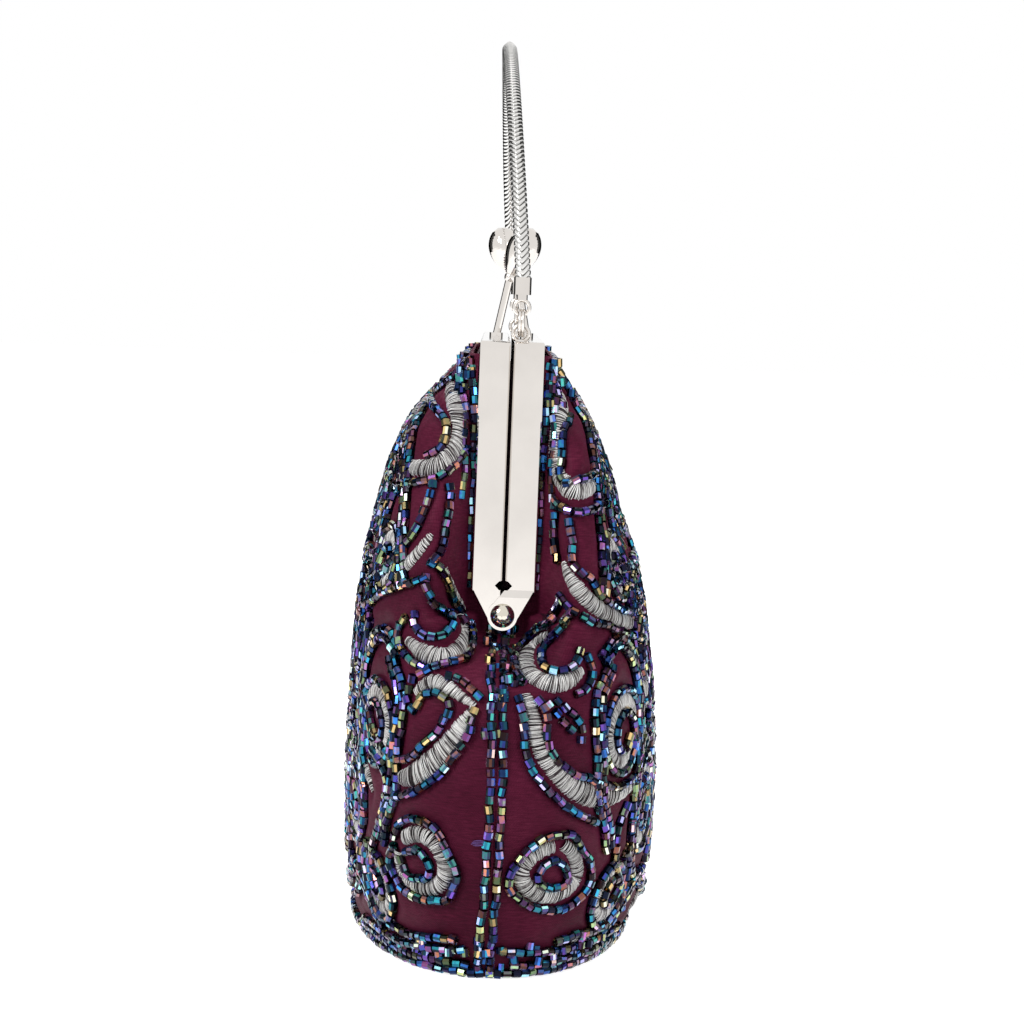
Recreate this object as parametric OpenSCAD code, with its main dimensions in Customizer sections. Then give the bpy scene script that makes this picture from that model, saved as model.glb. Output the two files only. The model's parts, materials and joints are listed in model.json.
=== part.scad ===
// Evening clutch: a soft beaded pouch on a pair of hinged half frames, with a snap clasp and a chain handle.
// X runs along the bag, -Y is the front, Z is up. The origin is the centre of the underside.

/* [Body] */
// Length of the pouch at its fullest
body_l = 202; // [170:1:240]
// Depth of the pouch at its fullest, front to back
body_w = 69.2; // [58:0.2:84]
// Thickness of the outer fabric with its stiff backing
fabric_t = 0.8; // [0.5:0.1:1.2]
// Thickness of the lining
lining_t = 0.5; // [0.3:0.1:0.8]
// Gap between fabric and lining
lining_gap = 0.2; // [0.1:0.05:0.4]
// Thickness of the oval base panel
base_t = 1.6; // [1:0.1:3]

/* [Frame] */
// Length of the frame over both legs
frame_l = 156; // [130:1:180]
// Height of the hinge axis above the base
hinge_h = 77.7; // [65:0.1:95]
// Height of the frame above the hinge axis
frame_rise = 59.9; // [48:0.1:75]
// Width of one half frame, front to back
half_w = 6.6; // [5.5:0.1:9]
// Gap between the two half frames
frame_gap = 0.8; // [0.5:0.1:1.4]
// Thickness of the frame metal
sheet_t = 0.8; // [0.6:0.05:1.1]
// Depth of the frame channel
channel_d = 5; // [4:0.1:7]
// Height of the end of the legs above the hinge axis
leg_end_h = 5.3; // [4.6:0.1:8]

/* [Hinge] */
// Diameter of the hinge rivet's shank
rivet_d = 2; // [1.5:0.1:3]
// Diameter of the rivet's domed head
rivet_head_d = 5.3; // [4.4:0.1:6]
// Height of the domed head
rivet_head_h = 1.6; // [1:0.1:2.4]
// Radius of the round end of each hinge tab
tab_r = 3.3; // [2.8:0.1:4]
// Running clearance around the shank and between the tabs
run_clear = 0.05; // [0.03:0.01:0.09]
// How far below level the seam between pouch and flap panel runs, in degrees
seam_angle = 24; // [20:1:30]
// How far each half frame opens, in degrees
open_angle = 35; // [20:1:35]

/* [Clasp] */
// Height of the clasp arms above the frame
arm_h = 14; // [10:0.5:20]
// Diameter of the clasp arms
arm_d = 1.9; // [1.4:0.1:2.6]
// Lean of the clasp arms, in degrees
arm_lean = 11; // [8:1:20]
// Length of the clasp heads
head_h = 13.3; // [10:0.1:16]
// Diameter of the clasp heads
head_d = 8.2; // [7:0.1:11]
// Lean of the clasp heads, in degrees
head_lean = 23; // [5:1:26]
// Gap between the two clasp heads
head_gap = 0.4; // [0.2:0.1:1]

/* [Handle] */
// Distance of the handle's feet from the ends of the frame
handle_inset = 4; // [3:0.5:20]
// Height of the handle's arch above its end caps
arch_h = 54.9; // [40:0.1:75]
// Bow of the handle's arch to the front at its top
arch_bow = 4.8; // [0:0.1:6]
// Diameter of the snake chain
chain_d = 3.3; // [2.4:0.1:4.5]
// Wire of the frame eyes and the end rings
ring_wire = 0.9; // [0.7:0.05:1.2]
// Outer diameter of the frame eyes
eye_d = 4.4; // [4:0.1:6]
// Outer diameter of the rings under the end caps
end_ring_d = 4.2; // [3.8:0.1:6]
// Wire of the split jump rings
jump_wire = 0.75; // [0.6:0.05:0.9]
// Outer diameter of the split jump rings
jump_d = 6.5; // [5.8:0.1:9]
// Diameter of the end caps
cap_d = 3.9; // [3.4:0.1:5]
// Height of the end caps
cap_h = 3.8; // [3:0.1:6]
// Place of the handle behind the middle of the bag
handle_back = 1.7; // [1.6:0.1:4]

/* [Beads] */
// Diameter of a bead
bead_d = 1.5; // [1:0.1:2.2]
// Length of a bead
bead_l = 1.6; // [1:0.1:2.2]
// Bore of a bead
bead_bore = 0.6; // [0.4:0.1:0.9]
// Distance from bead to bead along a row
bead_pitch = 2; // [1.8:0.1:3]

/* [Scrollwork] */
// Width of a scroll: a band of thread between two rows of beads
scroll_w = 5; // [4:0.1:5.6]
// Width of a stem: two rows of beads side by side
stem_w = 3.3; // [2.6:0.1:3.8]
// Height of the scrolls and stems on the fabric
scroll_h = 1.5; // [1:0.1:2]

/* [Hidden] */

// Colours
plum = [0.33, 0.07, 0.17];
plum_dark = [0.2, 0.05, 0.11];
nickel = [0.78, 0.78, 0.77];
iris = [0.22, 0.24, 0.5];

// Outline of the pouch below the hinge, by share of the hinge's height
low_length_shares = [[0, 0.895], [0.12, 0.935], [0.35, 0.985], [0.55, 1], [0.75, 0.985], [0.9, 0.965], [1, 0.955]];
low_width_shares = [[0, 0.913], [0.04, 0.94], [0.1, 0.97], [0.23, 0.99], [0.5, 1], [0.75, 0.983], [0.87, 0.961],
    [1, 0.934]];
low_round_shares = [[0, 2.1], [0.3, 2.4], [0.6, 2.7], [1, 3]];

// Outline of the flap panels above the hinge, by share of the way from hinge to frame top,
// as shares of the way from the frame out to the fullest part of the pouch
top_length_shares = [[0, 0.8], [0.3, 0.76], [0.5, 0.66], [0.7, 0.48], [0.85, 0.28], [1, 0.04]];
top_width_shares = [[0, 0.912], [0.167, 0.85], [0.334, 0.74], [0.501, 0.64], [0.668, 0.482], [0.835, 0.222],
    [0.918, 0.089], [0.95, 0.063], [1, 0.022]];
top_round_shares = [[0, 3], [0.5, 3], [0.7, 3.4], [0.835, 4], [0.918, 6], [1, 12]];

// Heights of the mesh rows, as shares of their stretch
pouch_row_shares = [0, 0.04, 0.1, 0.2, 0.35, 0.5, 0.65, 0.78, 0.88, 0.95, 1];
panel_row_shares = [0.08, 0.17, 0.27, 0.38, 0.5, 0.6, 0.7, 0.78, 0.85, 0.91, 0.95];
panel_low_angle_shares = [1, 0.7, 0.35, 0];
panel_columns = 14;
pouch_columns = 14;

// Curls on the broad faces: centre as shares of the half length and of the height, first and last
// radius as shares of the height, first angle and turn in degrees
pouch_curl_shares = [[0.257, 0.35, 0.16, 0.07, 150, -430], [0.565, 0.425, 0.146, 0.064, 20, 400],
    [0.772, 0.67, 0.128, 0.058, 200, -380], [0.72, 0.22, 0.1, 0.05, 120, 360]];
panel_curl_shares = [[0.238, 0.44, 0.19, 0.075, 200, -390], [0.545, 0.39, 0.15, 0.067, -60, 380]];

// Stems on the broad faces, as shares of the half length and of the height
pouch_stem_shares = [[[0.13, 0.085], [0.24, 0.115], [0.38, 0.15], [0.475, 0.195], [0.58, 0.175], [0.65, 0.13]],
    [[0.03, 0.2], [0.055, 0.3], [0.08, 0.42], [0.085, 0.53], [0.06, 0.65], [0.04, 0.74]]];
panel_stem_shares = [[[0.085, 0.2], [0.065, 0.29], [0.05, 0.38], [0.04, 0.47], [0.03, 0.56], [0.027, 0.68]],
    [[0.12, 0.73], [0.24, 0.725], [0.38, 0.69], [0.5, 0.61], [0.62, 0.59]]];

// Scrolls on the ends, as shares of the half depth at their height and of the height
pouch_end_shares = [[[0.13, 0.8], [0.17, 0.76], [0.22, 0.72], [0.27, 0.68], [0.34, 0.635], [0.43, 0.595],
    [0.52, 0.565]],
    [[0.57, 0.395], [0.48, 0.415], [0.39, 0.4], [0.33, 0.36], [0.3, 0.315], [0.33, 0.265], [0.41, 0.245],
    [0.5, 0.25], [0.585, 0.285], [0.6, 0.325]]];

// Derived places of the frame
overrun = sheet_t / 2;
seat_gap = 0.3;
frame_in = frame_gap / 2;
frame_out = frame_in + half_w;
frame_top = hinge_h + frame_rise;
web_x = frame_l / 2;
flange_x = web_x - channel_d;
leg_end = hinge_h + leg_end_h;
edge_bevel = sheet_t * 0.35;
corner_r = sheet_t * 1.8;
notch_w = half_w * 0.58;
notch_h = half_w * 0.3;

// Derived places of the hinge
front_tab_x = web_x - sheet_t;
back_tab_x = web_x + run_clear;
back_tab_out = back_tab_x + sheet_t;
touch_share = 0.96;
washer_t = sheet_t * 0.4;
washer_x = front_tab_x - run_clear - washer_t;
upset_t = sheet_t * 0.8;
upset_x = washer_x - upset_t;

// Derived places of the fabric
panel_in = frame_out + seat_gap;
recess_x = flange_x + fabric_t + lining_gap + lining_t;
recess_fade = channel_d * 1.7;
recess_half = frame_out - seat_gap;
tab_clear_r = tab_r + seat_gap;
lap_angle = seam_angle + 4;
lining_in = fabric_t + lining_gap;
tuck = lining_in + lining_t + lining_gap + seat_gap;
tuck_full = frame_rise * 0.085;
tuck_fade = frame_rise * 0.33;

// Derived places of the handle
handle_span = frame_l - 2 * handle_inset;
jump_strand = jump_wire * 0.475;
jump_reach = jump_strand + jump_wire / 2;
eye_z = frame_top + eye_d / 2 - ring_wire * 0.45;
jump_low_z = eye_z - eye_d / 2 + ring_wire + jump_reach + run_clear;
jump_r = jump_d / 2 - jump_wire / 2;
jump_z = jump_low_z + jump_r;
jump_high_z = jump_z + jump_r;
end_ring_r = end_ring_d / 2 - ring_wire / 2;
end_ring_z = jump_high_z + end_ring_d / 2 - ring_wire - jump_reach - run_clear;
neck_h = cap_h * 0.3;
cap_z = end_ring_z + end_ring_r + neck_h;
chain_z = cap_z + cap_h;
chain_sides = 12;
chain_rings = 60;

// Derived places of the clasp
head_x = (head_d + head_gap) / 2;
arm_foot_y = (frame_in + frame_out) / 2;
foot_d = arm_d * 1.7;
foot_h = arm_d * 0.5;
arm_len = arm_h / cos(arm_lean);

// Outline of the body at a height: half length, half width and roundness
function top_share(z) = (z - hinge_h) / frame_rise;
function body_a(z) = z <= hinge_h
    ? body_l / 2 * lookup(z / hinge_h, low_length_shares)
    : web_x + (body_l / 2 - web_x) * lookup(top_share(z), top_length_shares);
function body_b(z) = z <= hinge_h
    ? body_w / 2 * lookup(z / hinge_h, low_width_shares)
    : panel_in + (body_w / 2 - panel_in) * lookup(top_share(z), top_width_shares);
function body_n(z) = z <= hinge_h
    ? lookup(z / hinge_h, low_round_shares)
    : lookup(top_share(z), top_round_shares);

// How far out the fabric stands, from 0 beside the frame to 1 away from it
function recess(y, z) =
    let (across = max(abs(y) - recess_half * (z > hinge_h ? 1 : 0.6), 0))
    let (down = max(hinge_h - tab_r - z, 0))
    1 - exp(-pow(norm([across, down]) / recess_fade, 2) * 2);

// Half length of the body through a point of its end view, drawn in by an inset
function body_x(y, z, inset) =
    let (a = body_a(z) - inset, b = body_b(z) - inset, n = body_n(z))
    let (edge = pow(1 - pow(min(1, abs(y) / b), n), 1 / n))
    a * edge * (1 - (1 - recess(y, z)) * (1 - (recess_x - inset) / a));

// Columns run from one end of the body, over its broad side, to the other end
function column_angle(j, half) =
    90 * pow((j <= half ? j : 2 * half - j) / half, 1.5);
function column_sign(j, half) = j < half ? 1 : j > half ? -1 : 0;

// Pouch wall: height of its rim in a column, then a point of the wall
function wall_y(angle, z, inset) = (body_b(z) - inset) * pow(sin(angle), 2 / body_n(z));
function rim_z(angle, inset, z, tries) = tries == 0 ? z
    : rim_z(angle, inset, hinge_h - max(tab_clear_r, tan(seam_angle) * wall_y(angle, z, inset)), tries - 1);
function wall_point(j, share, low, inset, side) =
    let (angle = column_angle(j, pouch_columns))
    let (rim = rim_z(angle, inset, hinge_h, 8))
    let (z = max(low, share * rim))
    let (y = wall_y(angle, z, inset))
    [column_sign(j, pouch_columns) * body_x(y, z, inset), side * y, z];
function wall_grid(low, inset, side) =
    [for (share = pouch_row_shares) [for (j = [0 : 2 * pouch_columns]) wall_point(j, share, low, inset, side)]];

// Half length of a panel, inside every place of the wall that the point passes as its half frame opens
open_steps = 7;
function opened(y, z, turn) =
    [y * cos(turn) + (z - hinge_h) * sin(turn), hinge_h + (z - hinge_h) * cos(turn) - y * sin(turn)];
function in_pouch(p) = p[1] < hinge_h + tuck - tan(seam_angle) * p[0];
function swing_x(y, z, inset) = min([for (step = [0 : open_steps])
    let (p = opened(y, z, open_angle * step / open_steps))
    if (step == 0 || in_pouch(p)) body_x(p[0], p[1], inset)]);

// Flap panel: rows below the hinge lie on rays from its axis, rows above are level
function tuck_at(z) = tuck * (1 - max(0, min(1, (z - hinge_h - tuck_full) / (tuck_fade - tuck_full))));
function ray_r(angle, inset, r, tries) = tries == 0 ? r
    : ray_r(angle, inset, (body_b(hinge_h - r * sin(angle)) - inset) / cos(angle), tries - 1);
function panel_point(j, start, end, inset, side) =
    let (n = body_n(end[1]))
    let (way = pow(sin(column_angle(j, panel_columns)), 2 / n))
    let (p = start + way * (end - start))
    [column_sign(j, panel_columns) * swing_x(p[0], p[1], inset), side * p[0], p[1]];
function panel_row(start, end, inset, side) =
    [for (j = [0 : 2 * panel_columns]) panel_point(j, start, end, inset, side)];
function panel_grid(inset, side) = concat(
    [for (share = panel_low_angle_shares)
        let (angle = lap_angle * share, all = tuck + inset)
        let (reach = ray_r(angle, all, body_w / 2, 8))
        panel_row([panel_in * cos(angle), hinge_h - panel_in * sin(angle)],
            [reach * cos(angle), hinge_h - reach * sin(angle)], all, side)],
    [for (share = panel_row_shares)
        let (z = hinge_h + share * frame_rise, all = tuck_at(z) + min(inset, max(0, body_b(z) - panel_in) * 0.9))
        panel_row([panel_in, z], [body_b(z) - all, z], all, side)]);

// Solid between an outer and an inner grid of points; its diagonals are mirrored from quarter to quarter
module grid_shell(outer, inner, wrap, flip) {
    rows = len(outer);
    cols = len(outer[0]);
    total = rows * cols;
    last = wrap ? cols - 1 : cols - 2;
    stretch = wrap ? cols / 4 : (cols - 1) / 2;
    points = concat([for (row = outer) each row], [for (row = inner) each row]);
    skin = [for (i = [0 : rows - 2], j = [0 : last])
        let (a = i * cols + j, b = i * cols + (j + 1) % cols)
        each floor(j / stretch) % 2 == 1
            ? [[a, b, a + cols], [b, b + cols, a + cols]]
            : [[a, b, b + cols], [a, b + cols, a + cols]]];
    rims = concat(
        [for (j = [0 : last]) [j, (j + 1) % cols]],
        [for (j = [0 : last]) [total - cols + (j + 1) % cols, total - cols + j]],
        wrap ? [] : [for (i = [0 : rows - 2]) [(i + 2) * cols - 1 - cols, (i + 2) * cols - 1]],
        wrap ? [] : [for (i = [0 : rows - 2]) [(i + 1) * cols, i * cols]]);
    faces = concat(
        skin,
        [for (f = skin) [f[0] + total, f[2] + total, f[1] + total]],
        [for (e = rims) each [[e[1], e[0], e[0] + total], [e[1], e[0] + total, e[1] + total]]]);
    polyhedron(points, flip ? [for (f = faces) [f[2], f[1], f[0]]] : faces, convexity = 8);
}

module pouch_wall(side) {
    grid_shell(wall_grid(0, 0, side), wall_grid(0, fabric_t, side), false, side > 0);
}

module pouch_front() {
    color(plum) pouch_wall(-1);
}

module pouch_back() {
    color(plum) pouch_wall(1);
}

// Oval outline of the body at a height
function oval(z, inset, steps) = [for (i = [0 : steps - 1])
    let (angle = 360 * i / steps, n = body_n(z))
    [sign(cos(angle)) * (body_a(z) - inset) * pow(abs(cos(angle)), 2 / n),
        sign(sin(angle)) * (body_b(z) - inset) * pow(abs(sin(angle)), 2 / n)]];

module base_panel() {
    color(plum) linear_extrude(base_t) polygon(oval(0, fabric_t + lining_gap, 72));
}

// Ring of lining points at one height share
function lining_ring(share, inset) =
    let (low = base_t + lining_gap)
    concat(
        [for (j = [0 : 2 * pouch_columns]) wall_point(j, share, low, inset, -1)],
        [for (j = [2 * pouch_columns - 1 : -1 : 1]) wall_point(j, share, low, inset, 1)]);

module pouch_lining() {
    color(plum_dark) {
        grid_shell([for (share = pouch_row_shares) lining_ring(share, lining_in)],
            [for (share = pouch_row_shares) lining_ring(share, lining_in + lining_t)], true, false);
        translate([0, 0, base_t + lining_gap])
            linear_extrude(lining_t) polygon(oval(base_t, lining_in + lining_t / 2, 72));
    }
}

// One bead, its bore along Z
module bead() {
    difference() {
        cylinder(h = bead_l, d = bead_d, center = true, $fn = 16);
        cylinder(h = bead_l + 2 * overrun, d = bead_bore, center = true, $fn = 16);
    }
}

bead_lift = bead_d / 2 + run_clear;

// Angles around the base oval that lie one bead pitch apart, clear of the wall as high as a bead
base_row_a = body_a(bead_d) + bead_lift;
base_row_b = body_b(bead_d) + bead_lift;
function base_place(angle) =
    let (n = body_n(0))
    [sign(cos(angle)) * base_row_a * pow(abs(cos(angle)), 2 / n),
        sign(sin(angle)) * base_row_b * pow(abs(sin(angle)), 2 / n)];
base_gap = bead_pitch * 1.1;
base_start = asin(pow(base_gap / 2 / base_row_b, body_n(0) / 2));
function base_step(angle) = base_gap / norm(base_place(angle + 1) - base_place(angle));

module base_beads() {
    color(iris) for (side_x = [-1, 1], side_y = [-1, 1])
        for (angle = [for (a = base_start; base_place(a)[0] > base_gap / 2; a = a + base_step(a)) a]) {
            p = base_place(angle);
            q = base_place(angle + 1);
            translate([side_x * p[0], side_y * p[1], bead_lift])
                rotate([0, 90, atan2(side_y * (q[1] - p[1]), side_x * (q[0] - p[0]))]) bead();
        }
}

// Seam beads lie as chords on the edge of the wall's mesh, one bead pitch apart
seam_edge = [for (share = pouch_row_shares) let (p = wall_point(0, share, 0, 0, 1)) [p[2], p[0]]];
function seam_slope(z) = (lookup(z + bead_l / 2, seam_edge) - lookup(z - bead_l / 2, seam_edge)) / bead_l;
function seam_x(z) = bead_lift + max(lookup(z, seam_edge),
    (lookup(z + bead_l / 2, seam_edge) + lookup(z - bead_l / 2, seam_edge)) / 2);
function seam_lift(z) = bead_lift * (norm([seam_slope(z), 1]) - 1);
function seam_step(z) = bead_pitch * 1.05 / norm([seam_slope(z), 1]);

module seam_beads(end) {
    top = hinge_h - tab_r - bead_l;
    color(iris) for (z = [for (h = bead_d * 2; h < top; h = h + seam_step(h)) h])
        for (row = [-1, 1])
            translate([end * (seam_x(z) + seam_lift(z)), row * (bead_d / 2 + run_clear), z])
                rotate([0, end * atan(seam_slope(z)), 0]) bead();
}

module seam_beads_right() {
    seam_beads(1);
}

module seam_beads_left() {
    seam_beads(-1);
}

module panel(side) {
    grid_shell(panel_grid(0, side), panel_grid(fabric_t, side), false, side > 0);
}

module panel_front() {
    color(plum) panel(-1);
}

module panel_back() {
    color(plum) panel(1);
}

module panel_lining(side) {
    color(plum_dark)
        grid_shell(panel_grid(lining_in, side), panel_grid(lining_in + lining_t, side), false, side > 0);
}

module panel_lining_front() {
    panel_lining(-1);
}

module panel_lining_back() {
    panel_lining(1);
}

// Skin of the fabric: how far out it lies at a place on an end or on a broad face
function skin_inset(z) = z > hinge_h ? tuck_at(z) : 0;
function skin_half(z) = body_b(z) - skin_inset(z);
function skin_x(y, z) = z > hinge_h ? swing_x(y, z, skin_inset(z)) : body_x(y, z, 0);
function skin_y(x, z) =
    let (n = body_n(z))
    skin_half(z) * pow(1 - pow(min(1, x / (body_a(z) - skin_inset(z))), n), 1 / n);
function skin(on_end, at) = on_end ? [skin_x(at[0], at[1]), at[0], at[1]] : [at[0], skin_y(at[0], at[1]), at[1]];
function skin_way(on_end, at) =
    let (across = skin(on_end, at + [seat_gap, 0]) - skin(on_end, at - [seat_gap, 0]))
    let (up = skin(on_end, at + [0, seat_gap]) - skin(on_end, at - [0, seat_gap]))
    let (way = cross(across, up) * (on_end ? 1 : -1))
    way / norm(way);

// One scroll: a ridge with a rounded top along a path on the skin, narrower at both ends
scroll_section = [[-1, 0], [0, 0], [1, 0], [0.7, 0.8], [0, 1], [-0.7, 0.8]];
scroll_lift = run_clear * 5;
curl_steps = 13;
function scroll_ring(on_end, at, way, width) =
    let (off = [-way[1], way[0]] * width / 2)
    [for (part = scroll_section)
        let (place = at + part[0] * off)
        skin(on_end, place) + (scroll_lift + part[1] * scroll_h) * skin_way(on_end, place)];
function curl_path(curl, low, rise) = [for (i = [0 : curl_steps])
    let (r = rise * (curl[2] + (curl[3] - curl[2]) * pow(i / curl_steps, 0.8)))
    let (a = curl[4] + curl[5] * i / curl_steps)
    [body_l / 2 * curl[0] + r * cos(a), low + rise * curl[1] + r * sin(a)]];

// Closed solid through rings of points
module ring_tube(rings, flip) {
    sides = len(rings[0]);
    end = (len(rings) - 1) * sides;
    skin = [for (i = [0 : len(rings) - 2], k = [0 : sides - 1])
        let (a = i * sides + k, b = i * sides + (k + 1) % sides)
        each [[a, b, b + sides], [a, b + sides, a + sides]]];
    caps = [for (k = [1 : sides - 2]) each [[0, k + 1, k], [end, end + k, end + k + 1]]];
    faces = concat(skin, caps);
    polyhedron([for (ring = rings) each ring], flip ? [for (f = faces) [f[2], f[1], f[0]]] : faces,
        convexity = 8);
}

module scroll(on_end, path, width, end, side) {
    last = len(path) - 1;
    rings = [for (i = [0 : last])
        let (way = path[min(last, i + 1)] - path[max(0, i - 1)])
        [for (p = scroll_ring(on_end, path[i], way / norm(way), width * (i % last == 0 ? 0.5 : 1)))
            [end * p[0], side * p[1], p[2]]]];
    ring_tube(rings, on_end ? end * side > 0 : end * side < 0);
}

module scrolls(side, low, rise, curls, stems, ends) {
    color(iris) for (end = [-1, 1]) {
        for (curl = curls) scroll(false, curl_path(curl, low, rise), scroll_w, end, side);
        for (stem = stems)
            scroll(false, [for (p = stem) [body_l / 2 * p[0], low + rise * p[1]]], stem_w, end, side);
        for (band = ends)
            scroll(true, [for (p = band) let (z = low + rise * p[1]) [skin_half(z) * p[0], z]],
                scroll_w, end, side);
    }
}

module pouch_scrolls_front() {
    scrolls(-1, 0, hinge_h, pouch_curl_shares, pouch_stem_shares, pouch_end_shares);
}

module pouch_scrolls_back() {
    scrolls(1, 0, hinge_h, pouch_curl_shares, pouch_stem_shares, pouch_end_shares);
}

module panel_scrolls_front() {
    scrolls(-1, hinge_h, frame_rise, panel_curl_shares, panel_stem_shares, []);
}

module panel_scrolls_back() {
    scrolls(1, hinge_h, frame_rise, panel_curl_shares, panel_stem_shares, []);
}

// Front outline of a half frame, an upside-down U with rounded top corners
module frame_outline(inset, low) {
    r = corner_r - inset;
    top = frame_top - inset;
    half = web_x - inset;
    translate([-half, low]) square([2 * half, top - r - low]);
    translate([r - half, low]) square([2 * (half - r), top - low]);
    for (end = [-1, 1]) translate([end * (half - r), top - r]) circle(r, $fn = 32);
}

// End outline of a half frame with bevelled top edges, then its plan with bevelled end edges
module frame_end_outline() {
    polygon([[frame_in, leg_end - overrun], [frame_in, frame_top - edge_bevel],
        [frame_in + edge_bevel, frame_top], [frame_out - edge_bevel, frame_top],
        [frame_out, frame_top - edge_bevel], [frame_out, leg_end - overrun]]);
}

module frame_plan_outline() {
    far = web_x - edge_bevel;
    polygon([[-far, frame_in], [far, frame_in], [web_x, frame_in + edge_bevel],
        [web_x, frame_out - edge_bevel], [far, frame_out], [-far, frame_out],
        [-web_x, frame_out - edge_bevel], [-web_x, frame_in + edge_bevel]]);
}

// Extrusion along X of an outline drawn in Y and Z
module along_x(x0, x1) {
    translate([x0, 0, 0]) rotate([90, 0, 90]) linear_extrude(x1 - x0) children();
}

// Extrusion along Y of an outline drawn in X and Z
module along_y(y0, y1) {
    translate([0, y1, 0]) rotate([90, 0, 0]) linear_extrude(y1 - y0) children();
}

// Channel-shaped half frame on the +Y side, before its tabs
module half_frame() {
    difference() {
        intersection() {
            along_y(frame_in, frame_out) frame_outline(0, leg_end);
            along_x(-web_x, web_x) frame_end_outline();
            translate([0, 0, leg_end - overrun]) linear_extrude(frame_rise) frame_plan_outline();
        }
        along_y(frame_in + sheet_t, frame_out - sheet_t) frame_outline(sheet_t, leg_end - overrun);
        translate([-flange_x, frame_in - overrun, leg_end - overrun])
            cube([2 * flange_x, half_w + 2 * overrun, frame_top - channel_d - leg_end + overrun]);
        along_x(-web_x - overrun, web_x + overrun) notch_outline();
    }
}

// Six-sided relief notch between the ends of the legs
module notch_outline() {
    z = leg_end + notch_h * 0.6;
    polygon([[-notch_w / 2, z], [-notch_w / 4, z + notch_h / 2], [notch_w / 4, z + notch_h / 2],
        [notch_w / 2, z], [notch_w / 4, z - notch_h / 2], [-notch_w / 4, z - notch_h / 2]]);
}

// Point just inside the place where a line from p touches a circle of radius r about the hinge
function tangent_point(p, r, turn) =
    let (reach = norm(p), a = atan2(p[1], p[0]) + turn * acos(r / reach))
    r * touch_share * [cos(a), sin(a)];

// End view of a hinge tab on the +Y side, about the hinge axis; the wide one laps over the gap
module tab_outline(wide) {
    outer = [frame_out - edge_bevel, leg_end_h + overrun];
    inner = [frame_in, leg_end_h + overrun];
    circle(tab_r, $fn = 48);
    polygon(wide
        ? [[0, 0], tangent_point(outer, tab_r, -1), outer, inner, tangent_point(inner, tab_r, 1)]
        : [[0, 0], tangent_point(outer, tab_r, -1), outer, inner + [edge_bevel, 0],
            [frame_in + edge_bevel, tab_r * 0.8]]);
}

// Tab of the inner half: flat with the leg's end face
module inner_tab(end) {
    x0 = end > 0 ? front_tab_x : -web_x;
    difference() {
        translate([0, 0, hinge_h]) along_x(x0, x0 + sheet_t) tab_outline(false);
        translate([x0 - overrun, 0, hinge_h]) rotate([0, 90, 0])
            cylinder(h = sheet_t + 2 * overrun, d = rivet_d + 2 * run_clear, $fn = 48);
        along_x(-back_tab_out, back_tab_out) notch_outline();
    }
}

// Tab of the outer half: steps outward from the leg's end face, over the inner tab
module outer_tab(end) {
    step_low = hinge_h + leg_end_h - sheet_t * 1.6;
    step_high = step_low + sheet_t;
    top = leg_end + sheet_t;
    difference() {
        intersection() {
            translate([0, 0, hinge_h]) along_x(-web_x * 2, web_x * 2) {
                tab_outline(true);
                translate([frame_in, leg_end_h]) square([half_w - edge_bevel, sheet_t]);
            }
            along_y(-tab_r - overrun, frame_out)
                polygon([[end * back_tab_x, hinge_h - tab_r - overrun],
                    [end * back_tab_out, hinge_h - tab_r - overrun], [end * back_tab_out, step_low],
                    [end * web_x, step_high + sheet_t], [end * web_x, top],
                    [end * front_tab_x, top], [end * front_tab_x, step_high],
                    [end * back_tab_x, step_low]]);
        }
        translate([end > 0 ? web_x : -back_tab_out - overrun, 0, hinge_h]) rotate([0, 90, 0])
            cylinder(h = sheet_t + run_clear + overrun, d = rivet_d, $fn = 48);
        along_x(-back_tab_out, back_tab_out) notch_outline();
    }
}

module frame_back() {
    color(nickel) {
        half_frame();
        outer_tab(1);
        outer_tab(-1);
    }
}

module frame_front() {
    color(nickel) mirror([0, 1, 0]) {
        half_frame();
        inner_tab(1);
        inner_tab(-1);
    }
}

// Cord that holds the fabric edge inside the frame channel
module binding_cord(side) {
    cord_d = min(half_w - 2 * sheet_t, channel_d - sheet_t) * 0.8;
    y = side * (frame_in + frame_out) / 2;
    x = web_x - sheet_t - cord_d / 2 - run_clear;
    z = frame_top - sheet_t - cord_d / 2 - run_clear;
    low = leg_end + notch_h;
    color(plum_dark) {
        translate([-x, y, z]) rotate([0, 90, 0]) cylinder(h = 2 * x, d = cord_d, $fn = 24);
        for (end = [-1, 1]) {
            translate([end * x, y, low]) cylinder(h = z - low, d = cord_d, $fn = 24);
            translate([end * x, y, z]) sphere(d = cord_d, $fn = 24);
        }
    }
}

module binding_cord_front() {
    binding_cord(-1);
}

module binding_cord_back() {
    binding_cord(1);
}

// Rows of beads on the fabric along a half frame: down both legs and along the top
module frame_beads(side) {
    y = frame_out + seat_gap + bead_d / 2;
    top = hinge_h + frame_rise * panel_row_shares[len(panel_row_shares) - 1];
    along = body_x(y, top, 0) - bead_d;
    color(iris) {
        for (end = [-1, 1], z = [leg_end : bead_pitch : top - bead_d])
            translate([end * (max(swing_x(y + bead_d / 2, z, tuck_at(z)), recess_x) + bead_lift),
                side * y, z]) bead();
        for (x = [-along : bead_pitch : along])
            translate([x, side * (y + run_clear), top + bead_lift + run_clear]) rotate([0, 90, 0]) bead();
    }
}

module frame_beads_front() {
    frame_beads(-1);
}

module frame_beads_back() {
    frame_beads(1);
}

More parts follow.
